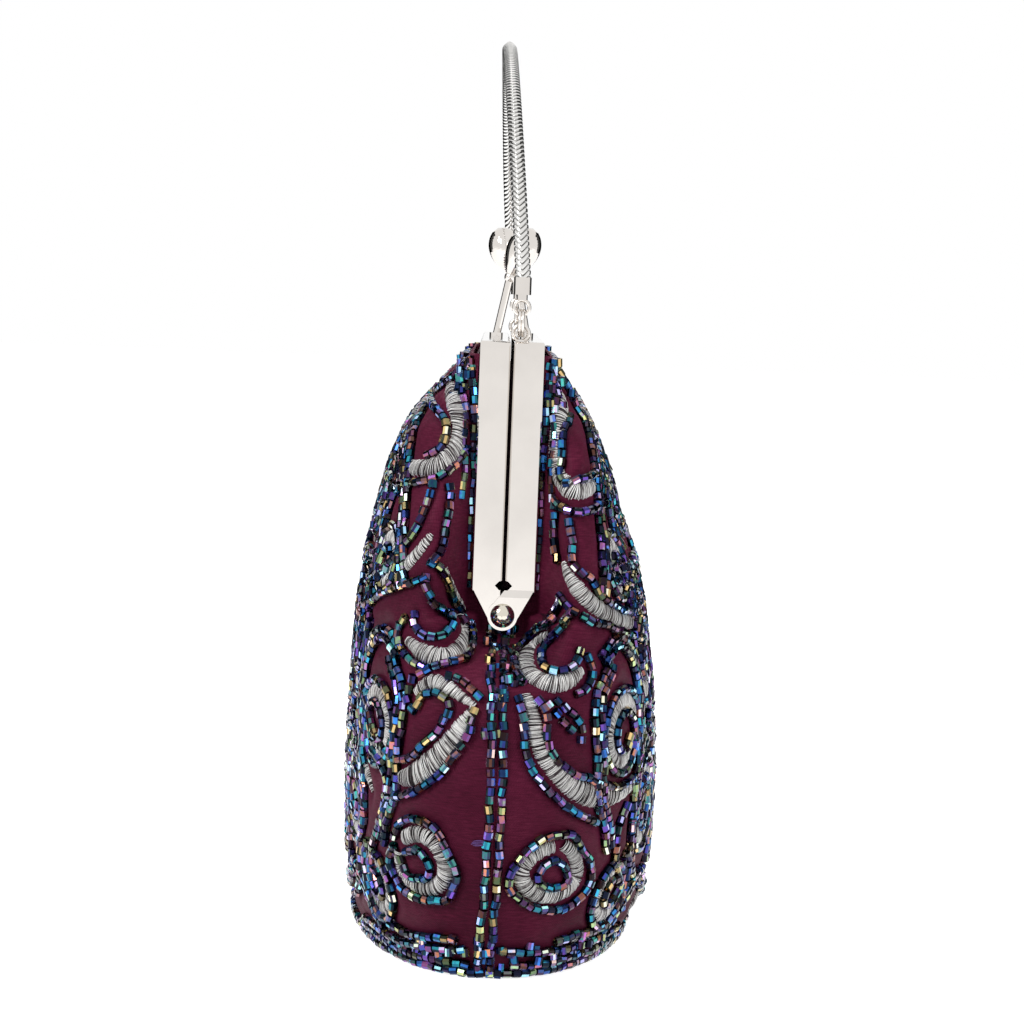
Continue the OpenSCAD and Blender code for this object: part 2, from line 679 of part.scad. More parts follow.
// Rivet through both tabs, with its domed head outside and its upset end inside
module hinge_rivet(end) {
    head_r = (pow(rivet_head_d / 2, 2) + pow(rivet_head_h, 2)) / (2 * rivet_head_h);
    color(nickel) rotate([0, 0, end > 0 ? 0 : 180]) translate([0, 0, hinge_h]) rotate([0, 90, 0]) {
        translate([0, 0, upset_x]) cylinder(h = back_tab_out - upset_x, d = rivet_d, $fn = 48);
        translate([0, 0, upset_x]) cylinder(h = upset_t, d = rivet_d * 1.8, $fn = 48);
        intersection() {
            translate([0, 0, back_tab_out + rivet_head_h - head_r]) sphere(head_r, $fn = 64);
            translate([0, 0, back_tab_out]) cylinder(h = rivet_head_h * 2, d = rivet_head_d, $fn = 64);
        }
    }
}

module hinge_rivet_right() {
    hinge_rivet(1);
}

module hinge_rivet_left() {
    hinge_rivet(-1);
}

// Washer between the inner tab and the rivet's upset end
module hinge_washer(end) {
    color(nickel) translate([end > 0 ? washer_x : -washer_x - washer_t, 0, hinge_h]) rotate([0, 90, 0])
        difference() {
            cylinder(h = washer_t, d = rivet_d * 2.1, $fn = 48);
            translate([0, 0, -overrun]) cylinder(h = washer_t + 2 * overrun, d = rivet_d, $fn = 48);
        }
}

module hinge_washer_right() {
    hinge_washer(1);
}

module hinge_washer_left() {
    hinge_washer(-1);
}

// Leaning clasp arm of the front half, standing on the frame
module clasp_arm() {
    translate([head_x, -arm_foot_y, frame_top]) {
        cylinder(h = foot_h, d = foot_d, $fn = 32);
        difference() {
            rotate([-arm_lean, 0, 0]) translate([0, 0, -arm_d]) cylinder(h = arm_len + arm_d, d = arm_d, $fn = 32);
            translate([-arm_d, -arm_d * 2, -arm_d * 2]) cube([arm_d * 2, arm_d * 4, arm_d * 2]);
        }
    }
}

// Egg-shaped clasp head, narrow end down, with a small collar where it meets the arm
egg_steps = 24;
egg_fullness = 0.5;
egg_place = 1.35;
egg_points = [for (i = [0 : egg_steps])
    let (t = i / egg_steps)
    [head_d / 2 * pow(sin(180 * pow(t, egg_place)), egg_fullness), head_h * t]];

module clasp_head() {
    translate([head_x, -arm_foot_y + arm_len * sin(arm_lean), frame_top + arm_h])
        rotate([-head_lean, 0, 0]) {
            rotate_extrude($fn = 48) polygon(egg_points);
            translate([0, 0, arm_d * 0.2]) sphere(d = arm_d * 1.5, $fn = 32);
        }
}

module clasp_arm_front() {
    color(nickel) difference() {
        clasp_arm();
        clasp_head();
    }
}

module clasp_arm_back() {
    color(nickel) rotate([0, 0, 180]) difference() {
        clasp_arm();
        clasp_head();
    }
}

module clasp_head_front() {
    color(nickel) clasp_head();
}

module clasp_head_back() {
    color(nickel) rotate([0, 0, 180]) clasp_head();
}

// Ring of round wire with its hole along Z
module wire_ring(outer_d, wire) {
    rotate_extrude($fn = 48) translate([(outer_d - wire) / 2, 0]) circle(d = wire, $fn = 24);
}

// Eye on the frame, its hole along X, sunk to a flat foot on the frame's top
module handle_eye(end) {
    color(nickel) translate([end * handle_span / 2, handle_back, 0]) difference() {
        union() {
            translate([0, 0, eye_z]) rotate([0, 90, 0]) wire_ring(eye_d, ring_wire);
            translate([0, 0, frame_top]) cylinder(h = ring_wire * 0.5, d = ring_wire * 2, $fn = 32);
        }
        translate([-eye_d, -eye_d, frame_top - eye_d]) cube([eye_d * 2, eye_d * 2, eye_d]);
    }
}

module handle_eye_right() {
    handle_eye(1);
}

module handle_eye_left() {
    handle_eye(-1);
}

// Split ring of two turns side by side, its hole along Y
module jump_ring(end) {
    color(nickel) translate([end * handle_span / 2, handle_back, jump_z]) rotate([90, 0, 0])
        for (turn = [-1, 1]) translate([0, 0, turn * jump_strand]) wire_ring(jump_d, jump_wire);
}

module jump_ring_right() {
    jump_ring(1);
}

module jump_ring_left() {
    jump_ring(-1);
}

module chain_cap(end) {
    color(nickel) translate([end * handle_span / 2, handle_back, cap_z]) {
        difference() {
            cylinder(h = cap_h, d = cap_d, $fn = 48);
            translate([0, 0, cap_h * 0.4]) cylinder(h = cap_h, d = chain_d, $fn = 48);
        }
        translate([0, 0, -neck_h]) cylinder(h = neck_h, d = cap_d * 0.62, $fn = 32);
    }
}

module chain_cap_right() {
    chain_cap(1);
}

module chain_cap_left() {
    chain_cap(-1);
}

// Ring under an end cap, its hole along X
module chain_ring(end) {
    color(nickel) translate([end * handle_span / 2, handle_back, end_ring_z]) difference() {
        rotate([0, 90, 0]) wire_ring(end_ring_d, ring_wire);
        translate([0, 0, end_ring_r]) cylinder(h = ring_wire, d = cap_d * 0.62, $fn = 32);
    }
}

module chain_ring_right() {
    chain_ring(1);
}

module chain_ring_left() {
    chain_ring(-1);
}

// Snake chain: straight into each cap, then half an ellipse
chain_seat = chain_z - cap_h * 0.6;
function chain_place(angle) =
    [handle_span / 2 * cos(angle), chain_z + arch_h * sin(angle)];
function chain_way(angle) =
    let (d = [-handle_span / 2 * sin(angle), arch_h * cos(angle)])
    d / norm(d);
function chain_bow(angle) = arch_bow * pow(sin(angle), angle > 90 ? 0.5 : 1);
function chain_ring_points(place, way, bow) = [for (k = [0 : chain_sides - 1])
    let (a = 360 * k / chain_sides, across = [way[1], -way[0]])
    let (p = place + chain_d / 2 * cos(a) * across)
    [p[0], handle_back - bow + chain_d / 2 * sin(a), p[1]]];
chain_rows = concat(
    [chain_ring_points([handle_span / 2, chain_seat], [0, 1], 0)],
    [for (i = [0 : chain_rings]) let (a = 180 * i / chain_rings)
        chain_ring_points(chain_place(a), chain_way(a), chain_bow(a))],
    [chain_ring_points([-handle_span / 2, chain_seat], [0, -1], 0)]);

module snake_chain() {
    color(nickel) ring_tube(chain_rows, false);
}

pouch_front();
pouch_back();
base_panel();
pouch_lining();
base_beads();
pouch_scrolls_front();
pouch_scrolls_back();
panel_scrolls_front();
panel_scrolls_back();
seam_beads_right();
seam_beads_left();
panel_front();
panel_back();
panel_lining_front();
panel_lining_back();
frame_front();
frame_back();
binding_cord_front();
binding_cord_back();
frame_beads_front();
frame_beads_back();
hinge_rivet_right();
hinge_rivet_left();
hinge_washer_right();
hinge_washer_left();
clasp_arm_front();
clasp_arm_back();
clasp_head_front();
clasp_head_back();
handle_eye_right();
handle_eye_left();
jump_ring_right();
jump_ring_left();
chain_cap_right();
chain_cap_left();
chain_ring_right();
chain_ring_left();
snake_chain();
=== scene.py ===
# Beaded evening clutch on a hinged nickel frame: cloth, beads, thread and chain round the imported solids
import json
import math

import bpy
import numpy as np
from mathutils import Matrix, Vector, kdtree, noise

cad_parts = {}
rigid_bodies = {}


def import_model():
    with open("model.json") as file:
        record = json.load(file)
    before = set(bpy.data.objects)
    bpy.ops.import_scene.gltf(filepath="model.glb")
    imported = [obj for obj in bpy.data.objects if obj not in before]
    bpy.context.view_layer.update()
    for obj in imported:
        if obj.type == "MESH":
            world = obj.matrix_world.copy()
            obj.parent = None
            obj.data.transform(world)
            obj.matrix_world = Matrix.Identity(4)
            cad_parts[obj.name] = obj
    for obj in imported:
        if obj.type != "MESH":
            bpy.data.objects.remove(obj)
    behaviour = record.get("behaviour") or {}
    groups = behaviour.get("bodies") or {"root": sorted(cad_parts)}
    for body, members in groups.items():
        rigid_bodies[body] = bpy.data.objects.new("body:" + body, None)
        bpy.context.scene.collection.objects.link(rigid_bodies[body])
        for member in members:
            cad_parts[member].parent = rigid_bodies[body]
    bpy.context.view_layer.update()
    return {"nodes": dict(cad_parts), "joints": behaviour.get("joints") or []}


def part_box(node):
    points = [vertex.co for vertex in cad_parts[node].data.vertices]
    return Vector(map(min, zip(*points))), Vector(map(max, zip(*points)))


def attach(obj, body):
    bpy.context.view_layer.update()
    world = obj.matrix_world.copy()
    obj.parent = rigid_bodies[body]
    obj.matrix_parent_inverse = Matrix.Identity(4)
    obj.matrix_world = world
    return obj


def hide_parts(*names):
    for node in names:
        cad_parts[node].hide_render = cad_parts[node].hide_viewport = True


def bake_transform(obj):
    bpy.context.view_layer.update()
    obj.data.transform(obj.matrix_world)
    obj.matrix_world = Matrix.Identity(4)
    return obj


for leftover in list(bpy.data.objects):
    bpy.data.objects.remove(leftover)
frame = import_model()
mm = 0.001
sides = {"front": -1, "back": 1}
ends = {"right": 1, "left": -1}
seeds = {"stitchFront": 11, "stitchBack": 12, "threadTone": 17, "scrollRight": 46, "scrollLeft": 41, "frame": 31,
    "seam": 41, "hem": 43, "loose": 51, "loosePlaces": 7, "tuft": 5}
print("frame loaded:", len(frame["nodes"]), "solids")

# camera, light and floor
cameraSetup = {"place": (0.758, -0.0035, 0.148), "lens": 109.7, "pitch": 4.0, "turn": 0.4, "roll": 2.2,
    "sensor": 36, "near": 0.01}
lampSetup = {
    "key": {"place": (0.55, -0.50, 0.62), "size": 0.30, "watts": 3.6, "glossy": True},
    "fill": {"place": (0.60, 0.66, 0.42), "size": 0.60, "watts": 2.6, "glossy": False},
    "top": {"place": (0.05, 0.0, 0.95), "size": 0.70, "watts": 2.6, "glossy": False},
    "rear": {"place": (-0.75, 0.20, 0.50), "size": 0.60, "watts": 2.4, "glossy": False},
}
lampAim = (0, 0, 0.08)
skySetup = {"colour": (1.0, 1.0, 1.0, 1), "strength": 0.40}
floorSetup = {"reach": 6.0, "colour": (0.55, 0.55, 0.55, 1), "glow": 0.84}
# dark hoods behind the clutch that only metal and glass see: first and last degree away from the near end, shade
hoodSetup = {"dark": (121, 163, 0.004), "dim": (98, 121, 0.10)}
# their radius and middle, the opening over them in degrees, and the slit's half width, lowest and highest point
hoodPlace = {"reach": 0.62, "height": 0.10, "open": 42, "rows": 7, "columns": 48, "slit": (0.03, 0.008, 0.134)}


def linkObject(name, data):
    obj = bpy.data.objects.new(name, data)
    bpy.context.scene.collection.objects.link(obj)
    return obj


def meshObject(name, points, faces, material=None, smooth=False):
    mesh = bpy.data.meshes.new(name)
    mesh.from_pydata(np.asarray(points, float).tolist(), [], faces)
    mesh.polygons.foreach_set("use_smooth", [smooth] * len(mesh.polygons))
    if material:
        mesh.materials.append(material)
    return linkObject(name, mesh)


# quads between neighbouring rows of points; a closed row joins its last point to its first
def gridFaces(rows, columns, closed=False, first=0):
    faces = []
    for k in range(rows - 1):
        for j in range(columns if closed else columns - 1):
            a, b = first + k * columns + j, first + k * columns + (j + 1) % columns
            faces.append((a, b, b + columns, a + columns))
    return faces


def newMaterial(name):
    material = bpy.data.materials.new(name)
    material.use_nodes = True
    tree = material.node_tree
    return material, tree, tree.nodes["Principled BSDF"]


def setInputs(tree, node, inputs):
    for key, value in inputs.items():
        if isinstance(value, bpy.types.NodeSocket):
            tree.links.new(value, node.inputs[key])
        else:
            node.inputs[key].default_value = value


def addNode(tree, kind, inputs=None, **settings):
    node = tree.nodes.new(kind)
    for key, value in settings.items():
        setattr(node, key, value)
    setInputs(tree, node, inputs or {})
    return node


def calc(tree, operation, *values, clamp=False):
    node = addNode(tree, "ShaderNodeMath", dict(enumerate(values)), operation=operation, use_clamp=clamp)
    return node.outputs[0]


def solidPlace(tree):
    return addNode(tree, "ShaderNodeTexCoord").outputs["Object"]


def addAttribute(tree, name):
    return addNode(tree, "ShaderNodeAttribute", attribute_name=name).outputs["Fac"]


def addNoise(tree, place, scale, detail):
    return addNode(tree, "ShaderNodeTexNoise", {"Vector": place, "Scale": scale,
        "Detail": detail}).outputs["Fac"]


def addBump(tree, height, strength, distance):
    return addNode(tree, "ShaderNodeBump", {"Height": height, "Strength": strength,
        "Distance": distance}).outputs["Normal"]


def addRange(tree, value, seen, given):
    return addNode(tree, "ShaderNodeMapRange", {"Value": value, "From Min": seen[0], "From Max": seen[1],
        "To Min": given[0], "To Max": given[1]}).outputs[0]


def mixColours(tree, blend, first, second, factor=1.0):
    return addNode(tree, "ShaderNodeMix", {"Factor": factor, 6: first, 7: second}, data_type="RGBA",
        blend_type=blend).outputs[2]


def addRamp(tree, factor, stops, interpolation="LINEAR"):
    ramp = addNode(tree, "ShaderNodeValToRGB", {"Fac": factor})
    ramp.color_ramp.interpolation = interpolation
    while len(ramp.color_ramp.elements) < len(stops):
        ramp.color_ramp.elements.new(1)
    for element, (place, colour) in zip(ramp.color_ramp.elements, stops):
        element.position, element.color = place, (*colour, 1)
    return ramp.outputs["Color"]


def makeCamera():
    data = bpy.data.cameras.new("camera")
    data.lens, data.sensor_width, data.clip_start = (cameraSetup[key] for key in ("lens", "sensor", "near"))
    obj = linkObject("camera", data)
    pitch, turn, roll = (math.radians(cameraSetup[key]) for key in ("pitch", "turn", "roll"))
    ahead = Vector((-math.cos(pitch) * math.cos(turn), math.cos(pitch) * math.sin(turn), -math.sin(pitch)))
    level = ahead.to_track_quat("-Z", "Y").to_matrix()
    obj.rotation_mode = "QUATERNION"
    obj.rotation_quaternion = (level @ Matrix.Rotation(roll, 3, "Z")).to_quaternion()
    obj.location = cameraSetup["place"]
    bpy.context.scene.camera = obj


def makeLamps():
    for name, spec in lampSetup.items():
        data = bpy.data.lights.new(name + "Lamp", "AREA")
        data.energy, data.size = spec["watts"], spec["size"]
        lamp = linkObject(name + "Lamp", data)
        lamp.visible_glossy = spec["glossy"]
        lamp.location = spec["place"]
        lamp.rotation_euler = (Vector(lampAim) - lamp.location).to_track_quat("-Z", "Y").to_euler()


# share of rays that see plain white: what the camera sees itself, in metal or through glass
def seenShare(tree):
    rays = addNode(tree, "ShaderNodeLightPath").outputs
    first = calc(tree, "MAXIMUM", rays["Is Camera Ray"], rays["Is Glossy Ray"])
    return calc(tree, "MAXIMUM", first, rays["Is Transmission Ray"])


def makeSky():
    world = bpy.data.worlds.new("studio")
    world.use_nodes = True
    tree = world.node_tree
    dim = tree.nodes["Background"]
    setInputs(tree, dim, {"Color": skySetup["colour"], "Strength": skySetup["strength"]})
    white = addNode(tree, "ShaderNodeBackground", {"Color": (1, 1, 1, 1), "Strength": 1.0})
    mix = addNode(tree, "ShaderNodeMixShader", {0: seenShare(tree), 1: dim.outputs[0], 2: white.outputs[0]})
    tree.links.new(mix.outputs[0], tree.nodes["World Output"].inputs["Surface"])
    bpy.context.scene.world = world
    bpy.context.scene.view_settings.view_transform = "Standard"


def mattePaint(name, colour):
    material, tree, shader = newMaterial(name)
    setInputs(tree, shader, {"Base Color": colour, "Roughness": 1.0, "Specular IOR Level": 0.0})
    return material, tree, shader


def makeFloor():
    reach = floorSetup["reach"]
    material, tree, shader = mattePaint("floorPaint", floorSetup["colour"])
    glow = calc(tree, "MULTIPLY", seenShare(tree), floorSetup["glow"])
    setInputs(tree, shader, {"Emission Strength": glow, "Emission Color": (1, 1, 1, 1)})
    corners = [(-reach, -reach, 0), (reach, -reach, 0), (reach, reach, 0), (-reach, reach, 0)]
    floor = meshObject("floor", corners, [(0, 1, 2, 3)], material)


def makeHoods():
    reach, height, rows, columns = (hoodPlace[key] for key in ("reach", "height", "rows", "columns"))
    rounds = np.radians(np.linspace(90 + hoodPlace["open"], 450 - hoodPlace["open"], columns))
    for name, (first, last, shade) in hoodSetup.items():
        points = []
        for turn in np.radians(np.linspace(first, last, rows)):
            away, wide = reach * math.cos(turn), reach * math.sin(turn)
            points += [(away, wide * math.cos(angle), height + wide * math.sin(angle)) for angle in rounds]
        faces = gridFaces(rows, columns)
        if name == "dark":
            half, low, high = hoodPlace["slit"]
            faces.append(tuple(range(len(points), len(points) + 4)))
            points += [(-reach, y, z) for y, z in ((-half, low), (half, low), (half, high), (-half, high))]
        paint = mattePaint(name + "HoodPaint", (shade, shade, shade, 1))[0]
        hood = meshObject(name + "Hood", points, faces, paint)
        hood.visible_camera = hood.visible_diffuse = hood.visible_shadow = hood.visible_transmission = False


# satin: clouds through the cloth, and slubs and a twill that run aslant over it
satinSetup = {"cloud": (55.0, 4.0), "slub": (420.0, 3200.0, 1.0), "streak": (1.0, 2.0), "turn": (0, 0, 0.55),
    "shade": 0.62}


def satinFinish(name, colour, lift, weave, roughness):
    material, tree, shader = newMaterial(name)
    run = addNode(tree, "ShaderNodeUVMap", uv_map="cloth").outputs["UV"]
    along = {"Vector": run, "Rotation": satinSetup["turn"]}
    slub = addNode(tree, "ShaderNodeMapping", {**along, "Scale": satinSetup["slub"]}).outputs["Vector"]
    rib = addNode(tree, "ShaderNodeMapping", along).outputs["Vector"]
    cloud = addNoise(tree, solidPlace(tree), *satinSetup["cloud"])
    streak = addNoise(tree, slub, *satinSetup["streak"])
    mean = calc(tree, "MULTIPLY", calc(tree, "ADD", cloud, streak), 0.5)
    shaded = [satinSetup["shade"] * c for c in colour]
    twill = addNode(tree, "ShaderNodeTexWave", {"Vector": rib, "Scale": weave, "Distortion": 1.6,
        "Detail": 2.0, "Detail Scale": 3.0}).outputs["Fac"]
    setInputs(tree, shader, {"Base Color": addRamp(tree, mean, [(0.34, shaded), (0.5, colour), (0.68, lift)]),
        "Normal": addBump(tree, calc(tree, "ADD", twill, streak), 0.35, 0.00012),
        "Roughness": roughness, "Specular IOR Level": 0.06,
        "Sheen Weight": 0.015, "Sheen Roughness": 0.35, "Sheen Tint": (0.85, 0.45, 0.62, 1)})
    return material


# cut glass beads: one of many oil-film colours for each bead, shifting along it; each facet's colour is scaled
# at random from near black to brighter than white as painted light and shade, and a few facets get an added pale
# painted glint
beadColours = [
    (0.00, (0.02, 0.05, 0.26)), (0.10, (0.03, 0.16, 0.52)), (0.19, (0.03, 0.38, 0.44)),
    (0.28, (0.04, 0.08, 0.42)), (0.38, (0.16, 0.06, 0.38)), (0.47, (0.04, 0.42, 0.34)),
    (0.56, (0.40, 0.09, 0.34)), (0.65, (0.06, 0.18, 0.54)), (0.74, (0.48, 0.18, 0.08)),
    (0.83, (0.24, 0.08, 0.34)), (0.91, (0.32, 0.52, 0.24)), (1.00, (0.66, 0.46, 0.20)),
]
# painted facet light and shade, from near black to brighter than white, then a pale painted glint on about one
# facet in twenty
beadFacetPaintedLight = [(0.0, (0.04, 0.04, 0.05)), (0.3, (0.22, 0.22, 0.24)), (0.5, (0.55, 0.55, 0.56)),
    (0.72, (0.95, 0.95, 0.95)), (0.88, (1.45, 1.45, 1.45))]
beadPaintedGlint = [(0.0, (0, 0, 0)), (0.95, (0.40, 0.46, 0.48))]


def beadFinish():
    material, tree, shader = newMaterial("iridescentBeads")
    facet = addAttribute(tree, "facet")
    film = addNoise(tree, solidPlace(tree), 900.0, 1.0)
    shift = calc(tree, "MULTIPLY_ADD", calc(tree, "ADD", film, facet), 0.16, -0.16)
    place = calc(tree, "ADD", addAttribute(tree, "beadTint"), shift, clamp=True)
    # painted light and shade: a random level for each facet scales its colour, then a painted glint is added to
    # a few facets
    level = addRamp(tree, facet, beadFacetPaintedLight, "CONSTANT")
    toned = mixColours(tree, "MULTIPLY", addRamp(tree, place, beadColours), level)
    paintedGlintColour = mixColours(tree, "ADD", toned, addRamp(tree, facet, beadPaintedGlint, "CONSTANT"))
    setInputs(tree, shader, {"Base Color": paintedGlintColour, "Roughness": addRange(tree, film, (0.3, 0.7), (0.10, 0.22)),
        "Metallic": 0.9, "Coat Weight": 0.12, "Coat Roughness": 0.06})
    return material


# painted glints and shade on the silver thread: each thread gets a random level from near black to white
threadPaintedGlintShade = [(0.0, (0.02, 0.012, 0.016)), (0.14, (0.16, 0.13, 0.135)), (0.24, (0.70, 0.68, 0.67)),
    (0.5, (0.93, 0.92, 0.91)), (1.0, (1.0, 0.99, 0.97))]


def silverThreadFinish():
    material, tree, shader = newMaterial("silverThread")
    tarnish = addNoise(tree, solidPlace(tree), 700.0, 3.0)
    drift = calc(tree, "MULTIPLY_ADD", tarnish, 0.35, -0.175)
    # the thread's painted light level, shifted a little by tarnish
    place = calc(tree, "ADD", addAttribute(tree, "threadTone"), drift, clamp=True)
    setInputs(tree, shader, {"Base Color": addRamp(tree, place, threadPaintedGlintShade), "Metallic": 0.15,
        "Roughness": 0.38, "Normal": addBump(tree, tarnish, 0.3, 0.0001)})
    return material


# plated metal: hazed in clouds, and rubbed along the height; the chain's links get painted shade, near black, in
# their grooves where they overlap
metalSetup = {"haze": (120.0, 5.0), "rub": (700.0, 700.0, 260.0), "scratch": (1.0, 2.0), "shade": 0.94,
    "paintedGrooveShade": (0.05, 0.048, 0.045, 1)}


def metalFinish(name, colour, roughness, wear, paintedShadeInGrooves=False):
    material, tree, shader = newMaterial(name)
    solid = solidPlace(tree)
    haze = addNoise(tree, solid, *metalSetup["haze"])
    rub = addNode(tree, "ShaderNodeMapping", {"Vector": solid, "Scale": metalSetup["rub"]}).outputs["Vector"]
    scratch = addNoise(tree, rub, *metalSetup["scratch"])
    level = addRange(tree, calc(tree, "MULTIPLY", haze, scratch), (0.1, 0.5), (roughness, roughness + wear))
    tone = addRamp(tree, haze, [(0.3, [metalSetup["shade"] * c for c in colour]), (0.6, colour)])
    # painted shade: the chain's colour goes toward near black in the grooves between links
    if paintedShadeInGrooves:
        tone = mixColours(tree, "MIX", tone, metalSetup["paintedGrooveShade"], addAttribute(tree, "paintedGrooveShade"))
    setInputs(tree, shader, {"Base Color": tone, "Metallic": 1.0, "Roughness": level,
        "Normal": addBump(tree, scratch, 0.05, 0.00002)})
    return material


def cordFinish():
    material, tree, shader = newMaterial("twistedCotton")
    fibre = addNoise(tree, solidPlace(tree), 1600.0, 4.0)
    tone = addRamp(tree, fibre, [(0.3, (0.010, 0.003, 0.006)), (0.7, (0.055, 0.014, 0.028))])
    setInputs(tree, shader, {"Base Color": tone, "Roughness": 0.85, "Normal": addBump(tree, fibre, 0.4, 0.0002)})
    return material


makeCamera()
makeLamps()
makeSky()
makeFloor()
makeHoods()
plumSatin = satinFinish("plumSatin", (0.088, 0.0085, 0.028), (0.135, 0.017, 0.045), 620.0, 0.55)
liningSatin = satinFinish("liningSatin", (0.030, 0.006, 0.014), (0.060, 0.012, 0.026), 500.0, 0.5)
iridescentBeads = beadFinish()
silverThread = silverThreadFinish()
polishedNickel = metalFinish("polishedNickel", (0.765, 0.725, 0.685), 0.04, 0.03)
chainNickel = metalFinish("chainNickel", (0.82, 0.81, 0.79), 0.08, 0.06, paintedShadeInGrooves=True)
rivetNickel = metalFinish("rivetNickel", (0.74, 0.70, 0.60), 0.06, 0.08)
twistedCotton = cordFinish()
print("finishes made")


# the body's surface in millimetres: half length, half depth and roundness by height, as in the solids
pouchLow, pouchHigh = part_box("pouch_front")
frameLow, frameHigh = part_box("frame_front")
hingeZ = next(j["pos_m"][2] for j in frame["joints"] if j["name"] == "front_frame_hinge") / mm
frameTop, webX, frameOut = frameHigh[2] / mm, frameHigh[0] / mm, -frameLow[1] / mm
body = {
    "halfLength": pouchHigh[0] / mm,
    "halfDepth": -pouchLow[1] / mm,
    "frameRise": frameTop - hingeZ,
    "panelIn": frameOut + 0.3,
    "recessX": webX - 3.5,
    "recessFade": 8.5,
    "recessHalf": frameOut - 0.3,
    "recessBelow": 0.6,
    "tabRadius": 3.3,
    "seenAtEnd": 0.992,
    "seenOnFace": 0.995,
    "lowLength": [(0, 0.895), (0.12, 0.935), (0.35, 0.985), (0.55, 1), (0.75, 0.985), (0.9, 0.965), (1, 0.955)],
    "lowDepth": [(0, 0.913), (0.04, 0.94), (0.1, 0.97), (0.23, 0.99), (0.5, 1), (0.75, 0.983), (0.87, 0.961),
        (1, 0.934)],
    "lowRound": [(0, 2.1), (0.3, 2.4), (0.6, 2.7), (1, 3)],
    "topLength": [(0, 0.8), (0.3, 0.76), (0.5, 0.66), (0.7, 0.48), (0.85, 0.28), (1, 0.04)],
    "topDepth": [(0, 0.912), (0.167, 0.85), (0.334, 0.74), (0.501, 0.64), (0.668, 0.482), (0.835, 0.222),
        (0.918, 0.089), (0.95, 0.063), (1, 0.022)],
    "topRound": [(0, 3), (0.5, 3), (0.7, 3.4), (0.835, 4), (0.918, 6), (1, 12)],
}


def byHeight(low, high, z, lowScale, highBase, highScale):
    lowPlaces, lowValues = zip(*body[low])
    highPlaces, highValues = zip(*body[high])
    under = np.interp(z / hingeZ, lowPlaces, lowValues) * lowScale
    over = highBase + highScale * np.interp((z - hingeZ) / body["frameRise"], highPlaces, highValues)
    return np.where(z <= hingeZ, under, over)


def outline(z):
    z = np.asarray(z, float)
    a = byHeight("lowLength", "topLength", z, body["halfLength"], webX, body["halfLength"] - webX)
    depth, panelIn = body["halfDepth"], body["panelIn"]
    b = byHeight("lowDepth", "topDepth", z, depth, panelIn, depth - panelIn)
    return a, b, byHeight("lowRound", "topRound", z, 1, 0, 1)


def powSign(value, power):
    return np.sign(value) * np.abs(value) ** power


def unit(vectors):
    return vectors / np.maximum(np.linalg.norm(vectors, axis=-1, keepdims=True), 1e-9)


def runAlong(points):
    return np.concatenate([[0], np.cumsum(np.linalg.norm(np.diff(points, axis=0), axis=1))])


# how far the filled cloth swells past the solids towards a broad face, by height, in millimetres
swellSetup = {
    -1: [(0, 0), (60, 0), (85, 0.8), (98, 1.8), (116, 2.2), (126, 1.2), (134, 0)],
    1: [(0, 0), (4, 0.8), (9, 2.4), (22, 2.6), (42, 2.2), (58, 1.4), (74, 0.4), (86, 0), (98, -1.4), (118, -1.6),
        (130, 0)],
}


# point of the cloth's surface: angle 0 is the right end seam, pi the left one
def clothPoint(side, angle, z, inset=0.0):
    angle, z = np.broadcast_arrays(np.asarray(angle, float), np.asarray(z, float))
    a, b, n = outline(z)
    a, b = a - inset, b - inset
    x = a * powSign(np.cos(angle), 2 / n)
    y = b * powSign(np.sin(angle), 2 / n)
    outer = np.clip((y / b - 0.5) / 0.5, 0, 1)
    y = y + np.interp(z, *zip(*swellSetup[int(side)])) * outer**2 * (3 - 2 * outer)
    across = np.maximum(np.abs(y) - body["recessHalf"] * np.where(z > hingeZ, 1, body["recessBelow"]), 0)
    down = np.maximum(hingeZ - body["tabRadius"] - z, 0)
    stand = 1 - np.exp(-2 * ((across**2 + down**2) / body["recessFade"] ** 2))
    x = x * (1 - (1 - stand) * (1 - (body["recessX"] - inset) / a))
    return np.stack([x, side * y, z], axis=-1)


# a normal is taken between neighbours this far off, in radians along and in millimetres up
normalReach = (0.02, 0.4)


def clothNormal(side, angle, z, inset=0.0):
    turn, rise = normalReach
    along = clothPoint(side, angle + turn, z, inset) - clothPoint(side, angle - turn, z, inset)
    up = clothPoint(side, angle, z + rise, inset) - clothPoint(side, angle, z - rise, inset)
    return side * unit(np.cross(along, up))


# angle on the surface of a point that is drawn in an end view, or in a view of a broad face
def angleAtEnd(end, y, z):
    b, n = outline(z)[1:]
    angle = np.arcsin(np.minimum(np.abs(y) / b, body["seenAtEnd"]) ** (n / 2))
    return angle if end > 0 else np.pi - angle


def angleOnFace(x, z):
    a, _, n = outline(z)
    angle = np.arccos(np.minimum(np.abs(x) / a, body["seenOnFace"]) ** (n / 2))
    return np.where(np.asarray(x) < 0, np.pi - angle, angle)


# three rounds of corner cutting, then points at an even gap
def smoothPath(points, gap):
    points = np.array(points, float)
    for _ in range(3):
        near = 0.75 * points[:-1] + 0.25 * points[1:]
        far = 0.25 * points[:-1] + 0.75 * points[1:]
        cut = np.stack([near, far], axis=1).reshape(-1, points.shape[1])
        points = np.vstack([points[:1], cut, points[-1:]])
    run = runAlong(points[:, :2])
    count = max(int(run[-1] / gap), 3)
    places = np.linspace(0, run[-1], count + 1)
    return np.stack([np.interp(places, run, points[:, k]) for k in range(points.shape[1])], axis=1)


